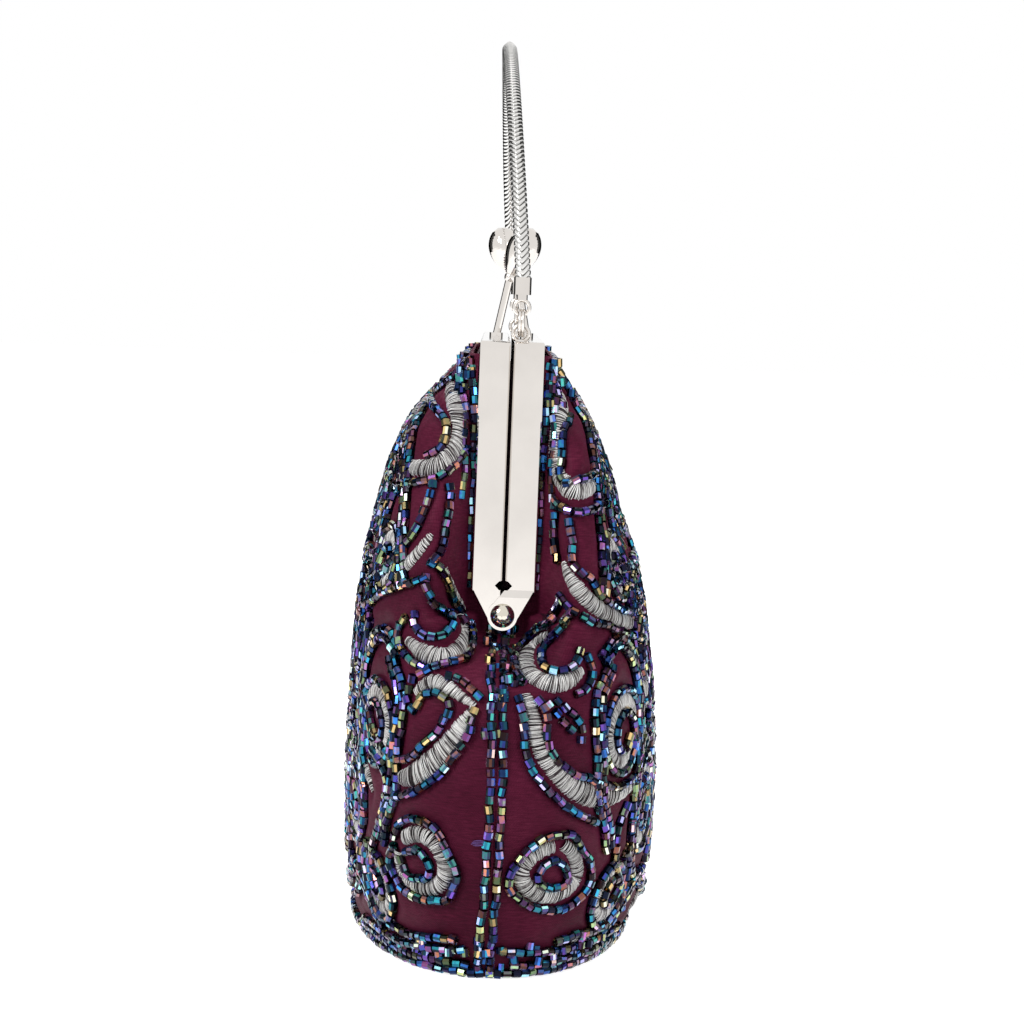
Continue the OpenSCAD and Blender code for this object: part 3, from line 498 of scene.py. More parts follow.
# scrollwork in millimetres. On the ends it is drawn as (distance from the seam, height), with a width at each
# point of a band. On the broad faces each curl is (centre x, centre z, first radius, last radius, first angle,
# turn in degrees, width), and each stem is (distance from the middle, height)
frontEndRows = {
    "topInner": [(16, 123.3), (13.7, 120.8), (13.1, 119), (13.2, 117.3), (13.8, 115.4), (14.1, 113.5),
        (16.2, 112.3)],
    "topHeel": [(21.7, 114.4), (22.8, 111.8), (21.6, 111.7)],
    "topOuter": [(11.6, 130.2), (12.8, 128.5), (11.3, 127.2)],
    "topFlankA": [(14.2, 126.6), (17.4, 122), (20.1, 118), (21, 116.1)],
    "topFlankB": [(14.6, 125.9), (17.7, 121.5), (20.1, 118), (21.4, 115.1)],
    "topLow": [(24.7, 107.1), (25.2, 105), (23.3, 104.8), (21.4, 104.8), (19.7, 105.8), (17.2, 106.6),
        (14.4, 107.7), (12, 110.2), (9.8, 113.5)],
    "stemA": [(15.6, 106), (16.1, 103.3), (16.8, 101.5), (17.4, 99.6), (17.9, 97.7), (19.5, 94.6),
        (20.9, 92.4), (22, 90.6), (24.2, 87.8), (26.1, 85.8), (29.2, 82.4)],
    "stemB": [(12.8, 105.7), (12.4, 103.4), (12.9, 101.3), (13, 99.4), (13.5, 97.1), (13.4, 94.9),
        (13.9, 92.4), (15.2, 90.4)],
    "secondLow": [(16.7, 86.3), (18.4, 85.4), (21.5, 83.9), (24.8, 82.1), (27, 79.9), (30, 76.4)],
    "sideCurl": [(27.2, 93), (25.5, 92.3), (25.5, 90.5), (27.8, 88.3), (30.2, 86.9), (29.7, 89), (29.2,
        90.6)],
    "hookOuter": [(15.8, 89.5), (14.1, 88.6), (13.2, 86.7), (12.3, 85), (11.6, 81.4), (9.9, 79.2), (9.1,
        77.4), (7.3, 75.8), (6.8, 73.7), (6.6, 71.8), (6.8, 70.5), (7.4, 68.9), (9.7, 69), (12, 68.4),
        (14.5, 67.7), (16.7, 66.3)],
    "hookInner": [(16.7, 86.3), (16.8, 84), (15.7, 82.9), (15.3, 80.7), (14.1, 80), (12.4, 78.3), (10.6,
        77.4), (11.4, 76.1), (12.9, 74.3), (15.9, 73.9), (17.8, 75.1), (18.9, 76.4), (18.7, 78.1)],
    "hookBack": [(20.7, 77), (21.9, 74.9), (22.1, 73), (21.4, 70.9), (20, 69.5), (18.2, 68.2), (16.3,
        67.6)],
    "arcOuter": [(11.1, 65.9), (8.1, 65.3), (6.4, 63.6), (4.5, 62.2)],
    "arcEnd": [(18.4, 64.6), (19.3, 61.9), (19.5, 59.8), (18.2, 58.3)],
    "bigInner": [(17.1, 59.5), (16.4, 61.9), (13.2, 62.6), (11.3, 61.2), (9.6, 59.6), (11.9, 56.7),
        (12.5, 54.4), (14.2, 52.7), (15.8, 50.9), (17.1, 49), (18.8, 47.4), (20.8, 46.6), (22.8, 46.7),
        (24.2, 48.5)],
    "bigOuter": [(5.3, 59.1), (6, 57.4), (5.5, 55.9), (6.4, 53.8), (8.1, 50.8), (10, 48.4), (11.2,
        46.2), (13.1, 43.9), (15.1, 42.6), (16.8, 41), (19.5, 39.4), (21, 38.5), (23.3, 38.3)],
    "flankA": [(30.5, 61.6), (29, 59.1), (27.7, 53.5), (27.2, 51.8), (26.2, 50.6), (25.2, 49), (24.2,
        47.8)],
    "flankB": [(26.6, 46.7), (25.4, 45.6), (24.5, 44.4), (23.5, 42.5), (23.1, 40.4), (23.3, 37.3),
        (23.8, 34.4), (24.8, 30.9), (25.8, 27.1), (26.4, 22.9), (26, 19.2), (24.5, 16.3)],
    "ringOuter": [(21.1, 29.8), (19.9, 33.8), (16.6, 35), (14, 34.3), (11.9, 33.2), (10.8, 30.7), (9.1,
        27.7), (8.1, 25.5), (7.3, 23.3), (8.4, 20.7), (8.9, 17.8), (10.6, 17.2), (13.8, 16.9), (16.3,
        16.8), (18.4, 17.4), (19.6, 18.7), (20.9, 20.9), (22.4, 22.7), (21.3, 27)],
    "ringInner": [(18.4, 26.9), (16.4, 28.1), (14.2, 26.6), (13, 24.1), (13.7, 21.6), (15.5, 21.5), (17,
        20.9), (18.9, 22.3), (19.5, 24.7)],
    "hemA": [(27.8, 4.9), (24.5, 5.3), (21.5, 4.8), (18.4, 5), (15.4, 5.3), (10.9, 5.9), (6, 6.4)],
    "hemB": [(21.4, 8.1), (18.5, 7.6), (16.8, 7.4), (13.3, 8.2), (10.2, 8.8), (7.8, 8.8)],
    "hemC": [(28.5, 2.9), (23, 3.1), (17, 2.7), (11, 3.3), (5, 3)],
    "flankC": [(28.3, 74), (29.6, 68), (29.2, 61), (30.6, 54), (30.2, 47), (31.2, 41)],
    "flankD": [(30.6, 72), (31.6, 66), (31.6, 58), (32.6, 50), (32.4, 42), (32.8, 34), (32.2, 25), (31.6, 16)],
    "flankE": [(28.6, 36), (28.4, 30), (29.6, 24), (29, 17), (29.8, 10)],
    "cornerA": [(8.4, 133.2), (9.6, 131.6), (11, 129.6), (12.9, 127.4), (15.1, 124.8)],
    "cornerB": [(8.6, 131.4), (9.9, 129.2), (10.6, 126.6)],
    "shoulder": [(17.2, 121.4), (19.4, 117.6), (22.2, 113.4), (23.6, 110.4), (26, 103.4), (27.4, 97.6)],
}
frontEndBands = {
    "top": ([(13, 128.3), (12.4, 126.1), (11.2, 122.6), (10.7, 117.7), (11.3, 113.6), (13.9, 110.3),
        (18.5, 109.1), (23.7, 108.7)], [1.3, 2.8, 3.7, 4.1, 4.6, 4.3, 3.5, 1.1]),
    "second": ([(16, 95.5), (17.8, 92.6), (19.4, 90.2), (21.5, 87.5), (24.2, 84.8), (27.1, 82), (29.8,
        78.9)], [0.9, 2, 2.6, 3, 3, 2.4, 1.1]),
    "hook": ([(12.6, 88.1), (10.5, 82.4), (8.3, 77.2), (8.1, 72.9), (9.5, 70.4), (12.9, 69.6), (17.2,
        70.5), (20.3, 72.6)], [0.7, 1.5, 2.4, 3.5, 3.9, 3.9, 3.5, 1.7]),
    "arc": ([(18, 61.9), (16.2, 64), (13.7, 65), (10.9, 63.7), (8.1, 61.9), (5.3, 60.3)], [1.3, 2.4,
        2.8, 2.6, 1.7, 1.1]),
    "big": ([(5.3, 59.9), (7.4, 56.7), (9.3, 53.1), (11.9, 49.5), (14.9, 46.3), (18.4, 43.6), (21.9,
        42.6)], [1.3, 2.8, 3.9, 4.8, 5.2, 4.8, 1.7]),
    "flank": ([(33.9, 44.6), (31.2, 45.1), (29.8, 43.1), (28.2, 40.5), (27.2, 37.3)], [1.3, 2.6, 3, 2.6,
        1.1]),
    "ring": ([(19.5, 29.6), (16.8, 31.6), (13.6, 30.8), (11.4, 27.9), (10, 24.4), (11, 20.6), (14,
        19.2), (17.4, 19.6), (20.3, 22.3), (20.7, 26.2)], [2.8, 3.3, 3.3, 3, 3, 3.3, 3.3, 3.3, 2.8,
        2.6]),
    "pad": ([(26.3, 10.3), (23.4, 10.1), (21.2, 9.7)], [2, 2.8, 1.5]),
    "padSide": ([(33.5, 24.4), (31.6, 25.2), (30.4, 23.7)], [1.3, 2.4, 1.3]),
    "low": ([(15.4, 64.7), (13.2, 63.6), (11.3, 62.2)], [1.1, 1.7, 1.1]),
}
backEndRows = {
    "topInner": [(13.2, 121.1), (12.2, 118.8), (12, 117.3), (12.1, 115.1), (12, 113.4), (12.1, 111.5),
        (11.5, 109.5), (12.9, 106.8), (15, 108.2), (18.4, 108.5), (20, 109.2)],
    "topLow": [(11, 103.2), (13, 101.7), (15.4, 101.2), (18.9, 101.7), (21, 102.4), (23.3, 102.2),
        (24.7, 102.3)],
    "topEdge": [(14.3, 124.2), (15.3, 122.8), (16.3, 121.6), (17.6, 119.8), (19, 117.1), (20.1, 115.2),
        (20.9, 112.8), (22.2, 110.1), (23.3, 106.6), (23.9, 104.1), (25.3, 100.2), (28.3, 93.7), (29.2,
        90.8)],
    "stemB": [(10.9, 102.1), (11, 99.1), (10.9, 96.7), (11.3, 93.5), (11.8, 91)],
    "stemA": [(14, 99), (14.5, 96.3), (14.8, 94.4), (14.5, 92.7), (14.8, 90.8), (16, 88.7), (18.9, 87),
        (19.4, 85.1), (20.8, 83.4), (23.1, 81.5), (25.7, 79.3), (28, 78.5), (30.1, 78.3), (30.6, 79.3),
        (29.7, 81.5), (28.4, 83.3), (26.2, 85.3), (23.5, 86.1)],
    "sideCurl": [(22.4, 88.4), (23.3, 89.7), (25.5, 89.6), (27.5, 88.7), (29.3, 86.1)],
    "secondLow": [(12.8, 83), (14.9, 80.9), (17, 79.3), (18.8, 77.9), (21.7, 77.3), (24, 76), (26.9,
        74.2), (29.9, 71.9), (32.6, 69.2)],
    "hookOuter": [(12.8, 81.9), (11.4, 78.9), (10.3, 77.1), (8.6, 76.2), (6.9, 73.9), (5.8, 72.5), (3.6,
        70.7), (2.5, 69), (3.3, 67.1), (4.6, 65.3)],
    "hookInner": [(14.9, 80.3), (14.1, 78.7), (13.1, 77.1), (12.1, 75.5), (10.8, 74.4), (9.8, 72.5),
        (8.9, 71.2), (9.1, 70), (8.9, 68.7), (10.6, 67.7), (12.7, 67.8), (14.8, 68.3), (16.1, 69.9),
        (16.6, 72)],
    "hookBack": [(18.3, 70.8), (19.2, 68.7), (19.4, 66.1), (18.5, 64.2), (16.5, 63.1)],
    "tailA": [(10.3, 60.8), (12.4, 58.8), (13.9, 57), (15.2, 55.6)],
    "tailB": [(12.2, 61.8), (14.4, 59.7), (16.1, 58.3), (17, 56.7), (17.6, 55.3), (17.6, 53.2)],
    "bigOuter": [(4, 61.8), (4.8, 59.7), (5.2, 57.6), (5.6, 54.6), (5.7, 52.1), (6.3, 49.6), (7.1,
        47.4), (8.6, 45.5), (10.5, 43.2), (12, 41.6), (14, 39.9), (15.7, 38.3), (17.7, 36.8), (19.7,
        35.5), (21, 34.6)],
    "bigInner": [(8.4, 61.7), (9.7, 60), (10.1, 57.7), (10.1, 54.9), (10.5, 52.6), (11.4, 50.8), (12.4,
        49.1), (14.6, 47.4), (16.3, 45.6), (18.9, 45), (21.6, 43.3), (23.5, 42.1), (25.6, 41), (26.8,
        41.4), (28.1, 41.9), (29.4, 42.9), (30.2, 43.5), (31.7, 43.5)],
    "ringOuter": [(9.7, 31.9), (11.8, 33), (14, 32.7), (16.4, 33), (17.7, 30.9), (18.4, 29.2), (19.7,
        27.2), (20.8, 24.1), (20.8, 20.7), (19.9, 18.6), (18.3, 17.2), (16.8, 16.2), (14.9, 15.5),
        (12.7, 15.9), (10.6, 16), (8.6, 16.7), (6.6, 17.8), (5.7, 19.2), (4.4, 20), (3.4, 21.4), (3.5,
        23.7), (3.9, 25.7), (5.5, 27.7), (6.8, 29.4), (8.2, 30.7)],
    "ringInner": [(10.9, 26.4), (11.9, 27.4), (13.4, 27), (14.9, 26.1), (15.5, 24.5), (16.1, 22.5),
        (15.5, 21.2), (14.1, 20.8), (11.3, 21.1), (9.7, 22.4), (9.3, 24.3), (10.1, 25.6)],
    "hemA": [(2.6, 6.6), (6.2, 6.3), (10.1, 6.1), (14, 5.7), (17.5, 5.6), (21, 5.6), (24.2, 5.8), (27,
        6.3)],
    "hemB": [(24.5, 8.4), (20.8, 8.2), (17.4, 8.6), (14.4, 8)],
    "hemC": [(28.5, 3.1), (23, 2.8), (17, 3.3), (11, 2.9), (5, 3.3)],
    "flankC": [(28.6, 66), (29.9, 60), (29.6, 54), (31.2, 49)],
    "flankD": [(30.8, 68), (32, 61), (31.7, 54), (32.8, 47), (32.6, 38), (33, 30), (32.2, 21), (31.4, 13)],
    "flankE": [(27.2, 36), (25.4, 31), (25.2, 24), (26.6, 18), (27.4, 11)],
    "flankF": [(29.4, 38), (28.2, 31), (28.2, 24), (29.4, 16)],
    "cornerA": [(8.4, 133.2), (9.8, 131.4), (11.2, 129.2), (12.6, 127.2), (14, 125.2)],
    "cornerB": [(8.7, 130.8), (9.7, 128.4), (10.2, 126)],
    "shoulder": [(17.8, 121.6), (19.9, 117.4), (22, 113.6), (24.1, 107.8), (26.2, 100.6)],
}
backEndBands = {
    "top": ([(11, 127.3), (12.2, 124.5), (10.6, 119.6), (10.2, 115.9), (10.2, 111.3), (11.4, 107.8),
        (14.5, 105.8), (17.8, 106.3), (22.1, 106.6)], [1.1, 3, 3.7, 4.1, 4.1, 4.1, 4.1, 3.5, 1.3]),
    "second": ([(12.7, 90.5), (13.7, 87.9), (16.2, 84.8), (18.8, 82.2), (22.1, 79.6), (26.2, 77.3), (31,
        74.3)], [1.1, 2.4, 3, 3.5, 3.5, 3, 1.5]),
    "hook": ([(10, 75.1), (7.1, 72.1), (5.1, 69.5), (5.5, 67.4), (8.2, 65.9), (11.8, 65.1), (15.2, 66),
        (17.6, 67.9)], [1.1, 2.6, 3.9, 3.9, 3.7, 3.5, 3.3, 1.3]),
    "big": ([(5.6, 63), (6.9, 60.5), (7.5, 57.1), (8.2, 53.7), (9.7, 50.1), (12.7, 46.5), (15.9, 43.3),
        (19.6, 40.7), (23.3, 39.2), (26.6, 39.5), (29.7, 40.4)], [1.3, 2.4, 2.8, 3, 3.3, 3.9, 4.3, 4.6,
        4.3, 3.5, 1.3]),
    "ring": ([(14.9, 30.4), (16.9, 28.6), (18.2, 25.3), (18.3, 21.7), (16.1, 19.7), (12.9, 18.9), (9.3,
        19.7), (6.6, 21.7), (5.9, 24.5), (7.4, 27.4), (9.9, 29.2), (12.7, 30.2)], [2.2, 2.8, 3.3, 3.5,
        3.7, 3.7, 3.5, 3.3, 3, 2.8, 2.6, 2.6]),
    "curl": ([(23.9, 87.5), (25.3, 87.9), (26.9, 86.9)], [1.1, 1.7, 1.1]),
    "pad": ([(18, 7.5), (20.4, 7.5), (22.9, 7.8)], [1.5, 2.6, 1.5]),
    "padSide": ([(29.6, 7.9), (30.9, 8.4), (32, 9.6)], [1.3, 2.4, 1.3]),
}
faceCurls = [
    (26, 27, 12.5, 5.5, 150, -430, 3.6), (57, 33, 11.5, 5, 20, 400, 3.6), (22, 66, 13.5, 5.5, 235, 400, 4.2),
    (54, 68, 12, 5, 75, -400, 4.0), (24, 104, 11.5, 4.5, 200, -390, 3.8), (55, 101, 9, 4, -60, 380, 3.2),
    (78, 52, 10, 4.5, 200, -380, 3.2), (72.7, 17, 7.8, 3.9, 120, 360, 2.8), (73, 88, 7.5, 4, 240, -360, 2.8),
]
faceStems = [
    [(0, 8), (3, 20), (8, 30), (9, 42), (5, 54), (3, 66), (7, 78), (9, 90), (5, 102), (2, 116), (0, 124)],
    [(13, 6), (24, 9), (38, 12), (48, 17), (60, 15), (70, 8)],
    [(11, 47), (22, 48), (33, 46), (42, 48), (52, 51), (62, 49), (68, 42)],
    [(10, 86), (20, 85), (30, 86), (40, 88), (50, 86), (62, 84), (66, 78)],
    [(12, 122), (24, 121), (38, 119), (50, 114), (62, 112), (69, 104)],
    [(38, 28), (42, 38), (40, 50)], [(38, 62), (37, 74), (40, 84)], [(38, 98), (39, 108), (36, 116)],
    [(80, 28), (83, 34), (88, 40), (88, 48), (90, 60), (84, 68)],
    [(66, 30), (69, 40), (66, 50), (65, 60), (70, 70), (80, 74), (86, 70)],
    [(84, 84), (80, 93), (76, 101), (70, 109), (62, 116), (52, 121)],
    [(66, 86), (65, 95), (60, 108), (50, 104)], [(47, 60), (46, 72), (42, 80)],
]
rowSetup = {"lift": 0.56, "edge": 1.0, "gap": 0.8, "tight": 0.8, "stride": 4, "middle": 0.9, "seen": 0.99}
# satin stitch: threads across each band over a raised pad; middle and spread of each draw, width of a full pad
stitchSetup = {"gap": 0.19, "padHeight": 0.95, "fullWidth": 3.2, "sink": 0.12, "radius": 0.000105, "slant": 0.35,
    "lean": 0.12, "curve": 0.4, "jitter": (-0.05, 0.35), "rise": (0.03, 0.06), "sway": 0.07, "padShare": 0.94,
    "padSink": 0.16, "across": (-1.0, -0.85, -0.5, 0, 0.5, 0.85, 1.0)}


curlSetup = {"points": 40, "closing": 0.8, "taper": [(0, 0.3), (0.12, 0.8), (0.35, 1), (0.75, 0.85), (0.93, 0.6),
    (1, 0.3)]}


def curlPath(curl):
    x, z, first, last, start, turn, width = curl
    share = np.linspace(0, 1, curlSetup["points"])
    radius = first + (last - first) * share ** curlSetup["closing"]
    angle = np.radians(start + turn * share)
    spread = width * np.interp(share, *zip(*curlSetup["taper"]))
    return np.stack([x + radius * np.cos(angle), z + radius * np.sin(angle), spread], axis=1)


# bead row beside a band of thread, at half its width and a little more
def besideBand(path, side):
    way = unit(np.gradient(path[:, :2], axis=0))
    off = (path[:, 2:3] / 2 + rowSetup["edge"]) * side
    return path[:, :2] + np.stack([-way[:, 1], way[:, 0]], axis=1) * off


def cleanTight(points, gap):
    kept = [points[0]]
    for point in points[1:]:
        if np.linalg.norm(point - kept[-1]) > gap:
            kept.append(point)
    return np.array(kept)


# runs of a path drawn in the end view that lie inside the body's outline there
def seenRuns(path):
    inside = np.abs(path[:, 0]) < rowSetup["seen"] * outline(path[:, 1])[1]
    cuts = np.flatnonzero(np.diff(inside.astype(int))) + 1
    return [run for run, seen in zip(np.split(path, cuts), [part[0] for part in np.split(inside, cuts)])
        if seen and len(run) > 3]


# every row and band of one half of a side as (angles, heights, widths)
def halfScrolls(side, end):
    rows, bands = [], []
    for points in (frontEndRows if side < 0 else backEndRows).values():
        for path in seenRuns(smoothPath(points, rowSetup["gap"])):
            rows.append((angleAtEnd(end, path[:, 0], path[:, 1]), path[:, 1]))
    for points, widths in (frontEndBands if side < 0 else backEndBands).values():
        for path in seenRuns(smoothPath([(*p, w) for p, w in zip(points, widths)], stitchSetup["gap"])):
            bands.append((angleAtEnd(end, path[:, 0], path[:, 1]), path[:, 1], path[:, 2]))
    for curl in faceCurls:
        path = smoothPath(curlPath(curl), stitchSetup["gap"])
        bands.append((angleOnFace(end * path[:, 0], path[:, 1]), path[:, 1], path[:, 2]))
        for beside in (-1, 1):
            edge = cleanTight(besideBand(path, beside)[::rowSetup["stride"]], rowSetup["tight"])
            rows.append((angleOnFace(end * edge[:, 0], edge[:, 1]), edge[:, 1]))
    for stem in faceStems:
        path = smoothPath(stem, rowSetup["gap"])
        for beside in (-1, 1):
            line = besideBand(np.column_stack([path, np.zeros(len(path))]), beside)
            x = np.maximum(line[:, 0], rowSetup["middle"])
            rows.append((angleOnFace(end * x, line[:, 1]), line[:, 1]))
    return rows, bands


# Geometry Nodes: a tree takes its sizes by name and gives back a plain mesh
def newTree(name, inputs):
    tree = bpy.data.node_groups.new(name, "GeometryNodeTree")
    tree.interface.new_socket("Geometry", in_out="INPUT", socket_type="NodeSocketGeometry")
    for label, kind, value in inputs:
        socket = tree.interface.new_socket(label, in_out="INPUT", socket_type="NodeSocket" + kind)
        if value is not None:
            socket.default_value = value
    tree.interface.new_socket("Geometry", in_out="OUTPUT", socket_type="NodeSocketGeometry")
    return tree, tree.nodes.new("NodeGroupInput").outputs, tree.nodes.new("NodeGroupOutput")


def closeTree(tree, geometry, given, result, smooth):
    real = addNode(tree, "GeometryNodeRealizeInstances", {"Geometry": geometry}).outputs[0]
    shade = addNode(tree, "GeometryNodeSetShadeSmooth", {"Geometry": real, "Shade Smooth": smooth}).outputs[0]
    paint = addNode(tree, "GeometryNodeSetMaterial", {"Geometry": shade, "Material": given["Material"]})
    tree.links.new(paint.outputs[0], result.inputs[0])


def bakeModifiers(obj):
    bpy.context.view_layer.update()
    mesh = bpy.data.meshes.new_from_object(obj.evaluated_get(bpy.context.evaluated_depsgraph_get()))
    obj.modifiers.clear()
    old, obj.data = obj.data, mesh
    bpy.data.meshes.remove(old)
    return obj


def runTree(obj, tree, values):
    modifier = obj.modifiers.new("build", "NODES")
    modifier.node_group = tree
    for item in tree.interface.items_tree:
        if item.item_type == "SOCKET" and item.in_out == "INPUT" and item.name in values:
            modifier[item.identifier] = values[item.name]
    return bakeModifiers(obj)


def routeCurve(tree, given):
    return addNode(tree, "GeometryNodeMeshToCurve", {"Mesh": given["Geometry"]}).outputs[0]


def randomVector(tree, low, high, seed):
    return addNode(tree, "FunctionNodeRandomValue", {0: low, 1: high, "Seed": seed},
        data_type="FLOAT_VECTOR").outputs[0]


# a chance from 0 to 1 for each instance, curve or face, kept for the shader
def storeChance(tree, geometry, name, domain, seed):
    chance = addNode(tree, "FunctionNodeRandomValue", {"Seed": seed}, data_type="FLOAT").outputs[1]
    stored = addNode(tree, "GeometryNodeStoreNamedAttribute", {"Geometry": geometry, "Name": name},
        data_type="FLOAT", domain=domain)
    tree.links.new(chance, next(s for s in stored.inputs if s.name == "Value" and s.enabled))
    return stored.outputs[0]


# how unevenly beads sit: spun and tilted, sized and shifted, each as lowest, highest and seed
beadChance = {"spin": ((-0.16, -0.16, 0), (0.16, 0.16, 6.283), 3),
    "size": ((0.93, 0.93, 0.86), (1.06, 1.06, 1.08), 5),
    "drift": ((-0.00013,) * 3, (0.00013,) * 3, 7), "sides": 10}


def beadTree(single=False):
    tree, given, result = newTree("looseBead" if single else "beadRow", [("Pitch", "Float", 0.002),
        ("Diameter", "Float", 0.0015), ("Length", "Float", 0.0016), ("Wall", "Float", 0.00045),
        ("Seed", "Int", 1), ("Material", "Material", None)])
    spacing, mode = ({"Count": 1}, "COUNT") if single else ({"Length": given["Pitch"]}, "LENGTH")
    spaced = addNode(tree, "GeometryNodeResampleCurve", {"Curve": routeCurve(tree, given), **spacing}, mode=mode)
    middle = calc(tree, "MULTIPLY", calc(tree, "SUBTRACT", given["Diameter"], given["Wall"]), 0.5)
    ring = addNode(tree, "GeometryNodeCurvePrimitiveCircle", {"Resolution": beadChance["sides"],
        "Radius": middle}).outputs[0]
    wall = addNode(tree, "GeometryNodeCurvePrimitiveQuadrilateral", {"Width": given["Wall"],
        "Height": given["Length"]}).outputs[0]
    bead = addNode(tree, "GeometryNodeCurveToMesh", {"Curve": ring, "Profile Curve": wall}).outputs[0]
    way = addNode(tree, "GeometryNodeInputTangent").outputs[0]
    turned = addNode(tree, "FunctionNodeAlignRotationToVector", {"Vector": way}, axis="Z").outputs[0]
    placed = addNode(tree, "GeometryNodeInstanceOnPoints", {"Points": spaced.outputs[0], "Instance": bead,
        "Rotation": turned}).outputs[0]
    for kind, socket, name in (("Rotate", "Rotation", "spin"), ("Scale", "Scale", "size"),
            ("Translate", "Translation", "drift")):
        placed = addNode(tree, "GeometryNode" + kind + "Instances", {"Instances": placed,
            socket: randomVector(tree, *beadChance[name])}).outputs[0]
    tinted = storeChance(tree, placed, "beadTint", "INSTANCE", given["Seed"])
    real = addNode(tree, "GeometryNodeRealizeInstances", {"Geometry": tinted}).outputs[0]
    closeTree(tree, storeChance(tree, real, "facet", "FACE", given["Seed"]), given, result, False)
    return tree


def threadTree():
    tree, given, result = newTree("threadStitches", [("Radius", "Float", 0.0002), ("Sides", "Int", 4),
        ("Material", "Material", None)])
    # each thread's random level for its painted glint or shade
    toned = storeChance(tree, routeCurve(tree, given), "threadTone", "CURVE", seeds["threadTone"])
    circle = addNode(tree, "GeometryNodeCurvePrimitiveCircle", {"Resolution": given["Sides"],
        "Radius": given["Radius"]}).outputs[0]
    thread = addNode(tree, "GeometryNodeCurveToMesh", {"Curve": toned, "Profile Curve": circle,
        "Fill Caps": True}).outputs[0]
    closeTree(tree, thread, given, result, True)
    return tree


def routeMesh(name, routes):
    points, edges = [], []
    for route in routes:
        first = len(points)
        points += [tuple(p) for p in route * mm]
        edges += [(first + k, first + k + 1) for k in range(len(route) - 1)]
    mesh = bpy.data.meshes.new(name)
    mesh.from_pydata(points, edges, [])
    return linkObject(name, mesh)


beadSetup = {"Pitch": 0.00195, "Diameter": 0.0020, "Length": 0.00165, "Wall": 0.0005}
beadRows, looseBeadRows, threadStitches = beadTree(), beadTree(True), threadTree()


def makeBeads(name, routes, seed, tree=None):
    values = {**beadSetup, "Seed": seed, "Material": iridescentBeads}
    piece = runTree(routeMesh(name, routes), tree or beadRows, values)
    return piece


def blendWithFrame(piece):
    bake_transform(piece)


# the outer cloth: its grid, how it puffs up between rows and dents at them, its ripple and where it lies calm
clothSetup = {"columns": 250, "rowGap": 0.95, "top": 0.95, "thickness": 0.45, "puff": 0.75, "puffReach": 4.2,
    "dent": 0.45, "dentReach": 1.3, "ripple": 0.35, "rippleReach": 4, "waves": (0.11, 0.27), "calmTop": 6,
    "calmLow": 5, "lowest": 0.05, "samples": 900}


# half the gap between the two cloths, which part above the hinge
def edgeOfCloth(z):
    return np.interp(z - hingeZ, [0, 1, 4.9], [0.05, 0.3, body["panelIn"]])


def clothGrid(side, low, high, rowGap, columns, inset=0.0):
    heights = np.linspace(low, high, int((high - low) / rowGap) + 1)
    angles = np.zeros((len(heights), columns))
    for k, z in enumerate(heights):
        b, n = (float(v) for v in outline(z)[1:])
        start = 0 if z <= hingeZ else math.asin(min(1, edgeOfCloth(z) / (b - inset)) ** (n / 2))
        even = np.linspace(0, math.pi, clothSetup["samples"])
        dense = start + (math.pi - 2 * start) * (0.5 - 0.5 * np.cos(even))
        run = runAlong(clothPoint(side, dense, z, inset))
        angles[k] = np.interp(np.linspace(0, run[-1], columns), run, dense)
    return angles, heights


# a sheet from its shaped grid; its cloth coordinates are the run along the smooth points and the height
def gridMesh(name, shape, points, heights, flip, thickness, material):
    uvs = np.stack([runLengths(points), np.broadcast_to(heights[:, None], shape.shape[:2])], axis=-1)
    faces = gridFaces(*shape.shape[:2])
    obj = meshObject(name, (shape * mm).reshape(-1, 3), [face[::-1] for face in faces] if flip else faces,
        material, True)
    corners = np.zeros(len(obj.data.loops), int)
    obj.data.loops.foreach_get("vertex_index", corners)
    layer = obj.data.uv_layers.new(name="cloth")
    layer.data.foreach_set("uv", (uvs * mm).reshape(-1, 2)[corners].astype(np.float32).ravel())
    solid = obj.modifiers.new("cloth", "SOLIDIFY")
    solid.thickness, solid.offset, solid.use_rim = thickness * mm, -1, True
    return bakeModifiers(obj)


def runLengths(points):
    run = np.linalg.norm(np.diff(points, axis=1), axis=2)
    run = np.concatenate([np.zeros((points.shape[0], 1)), np.cumsum(run, axis=1)], axis=1)
    return run - run[:, -1:] / 2


# outer cloth of one side: puffed between the rows that hold it down
def makeCloth(tag, rows):
    side = sides[tag]
    held = np.vstack([clothPoint(side, *row) for row in rows])
    tree = kdtree.KDTree(len(held))
    for k, point in enumerate(held):
        tree.insert(point, k)
    tree.balance()
    top = hingeZ + body["frameRise"] * clothSetup["top"]
    angles, heights = clothGrid(side, 0.0, top, clothSetup["rowGap"], clothSetup["columns"])
    z = heights[:, None]
    points, normals = clothPoint(side, angles, z), clothNormal(side, angles, z)
    near = np.array([tree.find(p)[2] for p in points.reshape(-1, 3)]).reshape(angles.shape)
    coarse, fine = clothSetup["waves"]
    ripple = np.array([noise.noise(Vector(p) * coarse) + 0.5 * noise.noise(Vector(p) * fine)
        for p in points.reshape(-1, 3)]).reshape(angles.shape)
    puff = clothSetup["puff"] * (1 - np.exp(-((near / clothSetup["puffReach"]) ** 2)))
    dent = clothSetup["dent"] * np.exp(-((near / clothSetup["dentReach"]) ** 2))
    calm = np.clip(np.minimum((top - z) / clothSetup["calmTop"], z / clothSetup["calmLow"]), 0, 1)
    rise = (puff - dent + clothSetup["ripple"] * ripple * np.minimum(near / clothSetup["rippleReach"], 1)) * calm
    shape = points + normals * rise[..., None]
    shape[..., 2] = np.maximum(shape[..., 2], clothSetup["lowest"])
    cloth = gridMesh(tag + "Cloth", shape, points, heights, side < 0, clothSetup["thickness"], plumSatin)
    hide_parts("pouch_" + tag, "panel_" + tag)
    blendWithFrame(cloth)


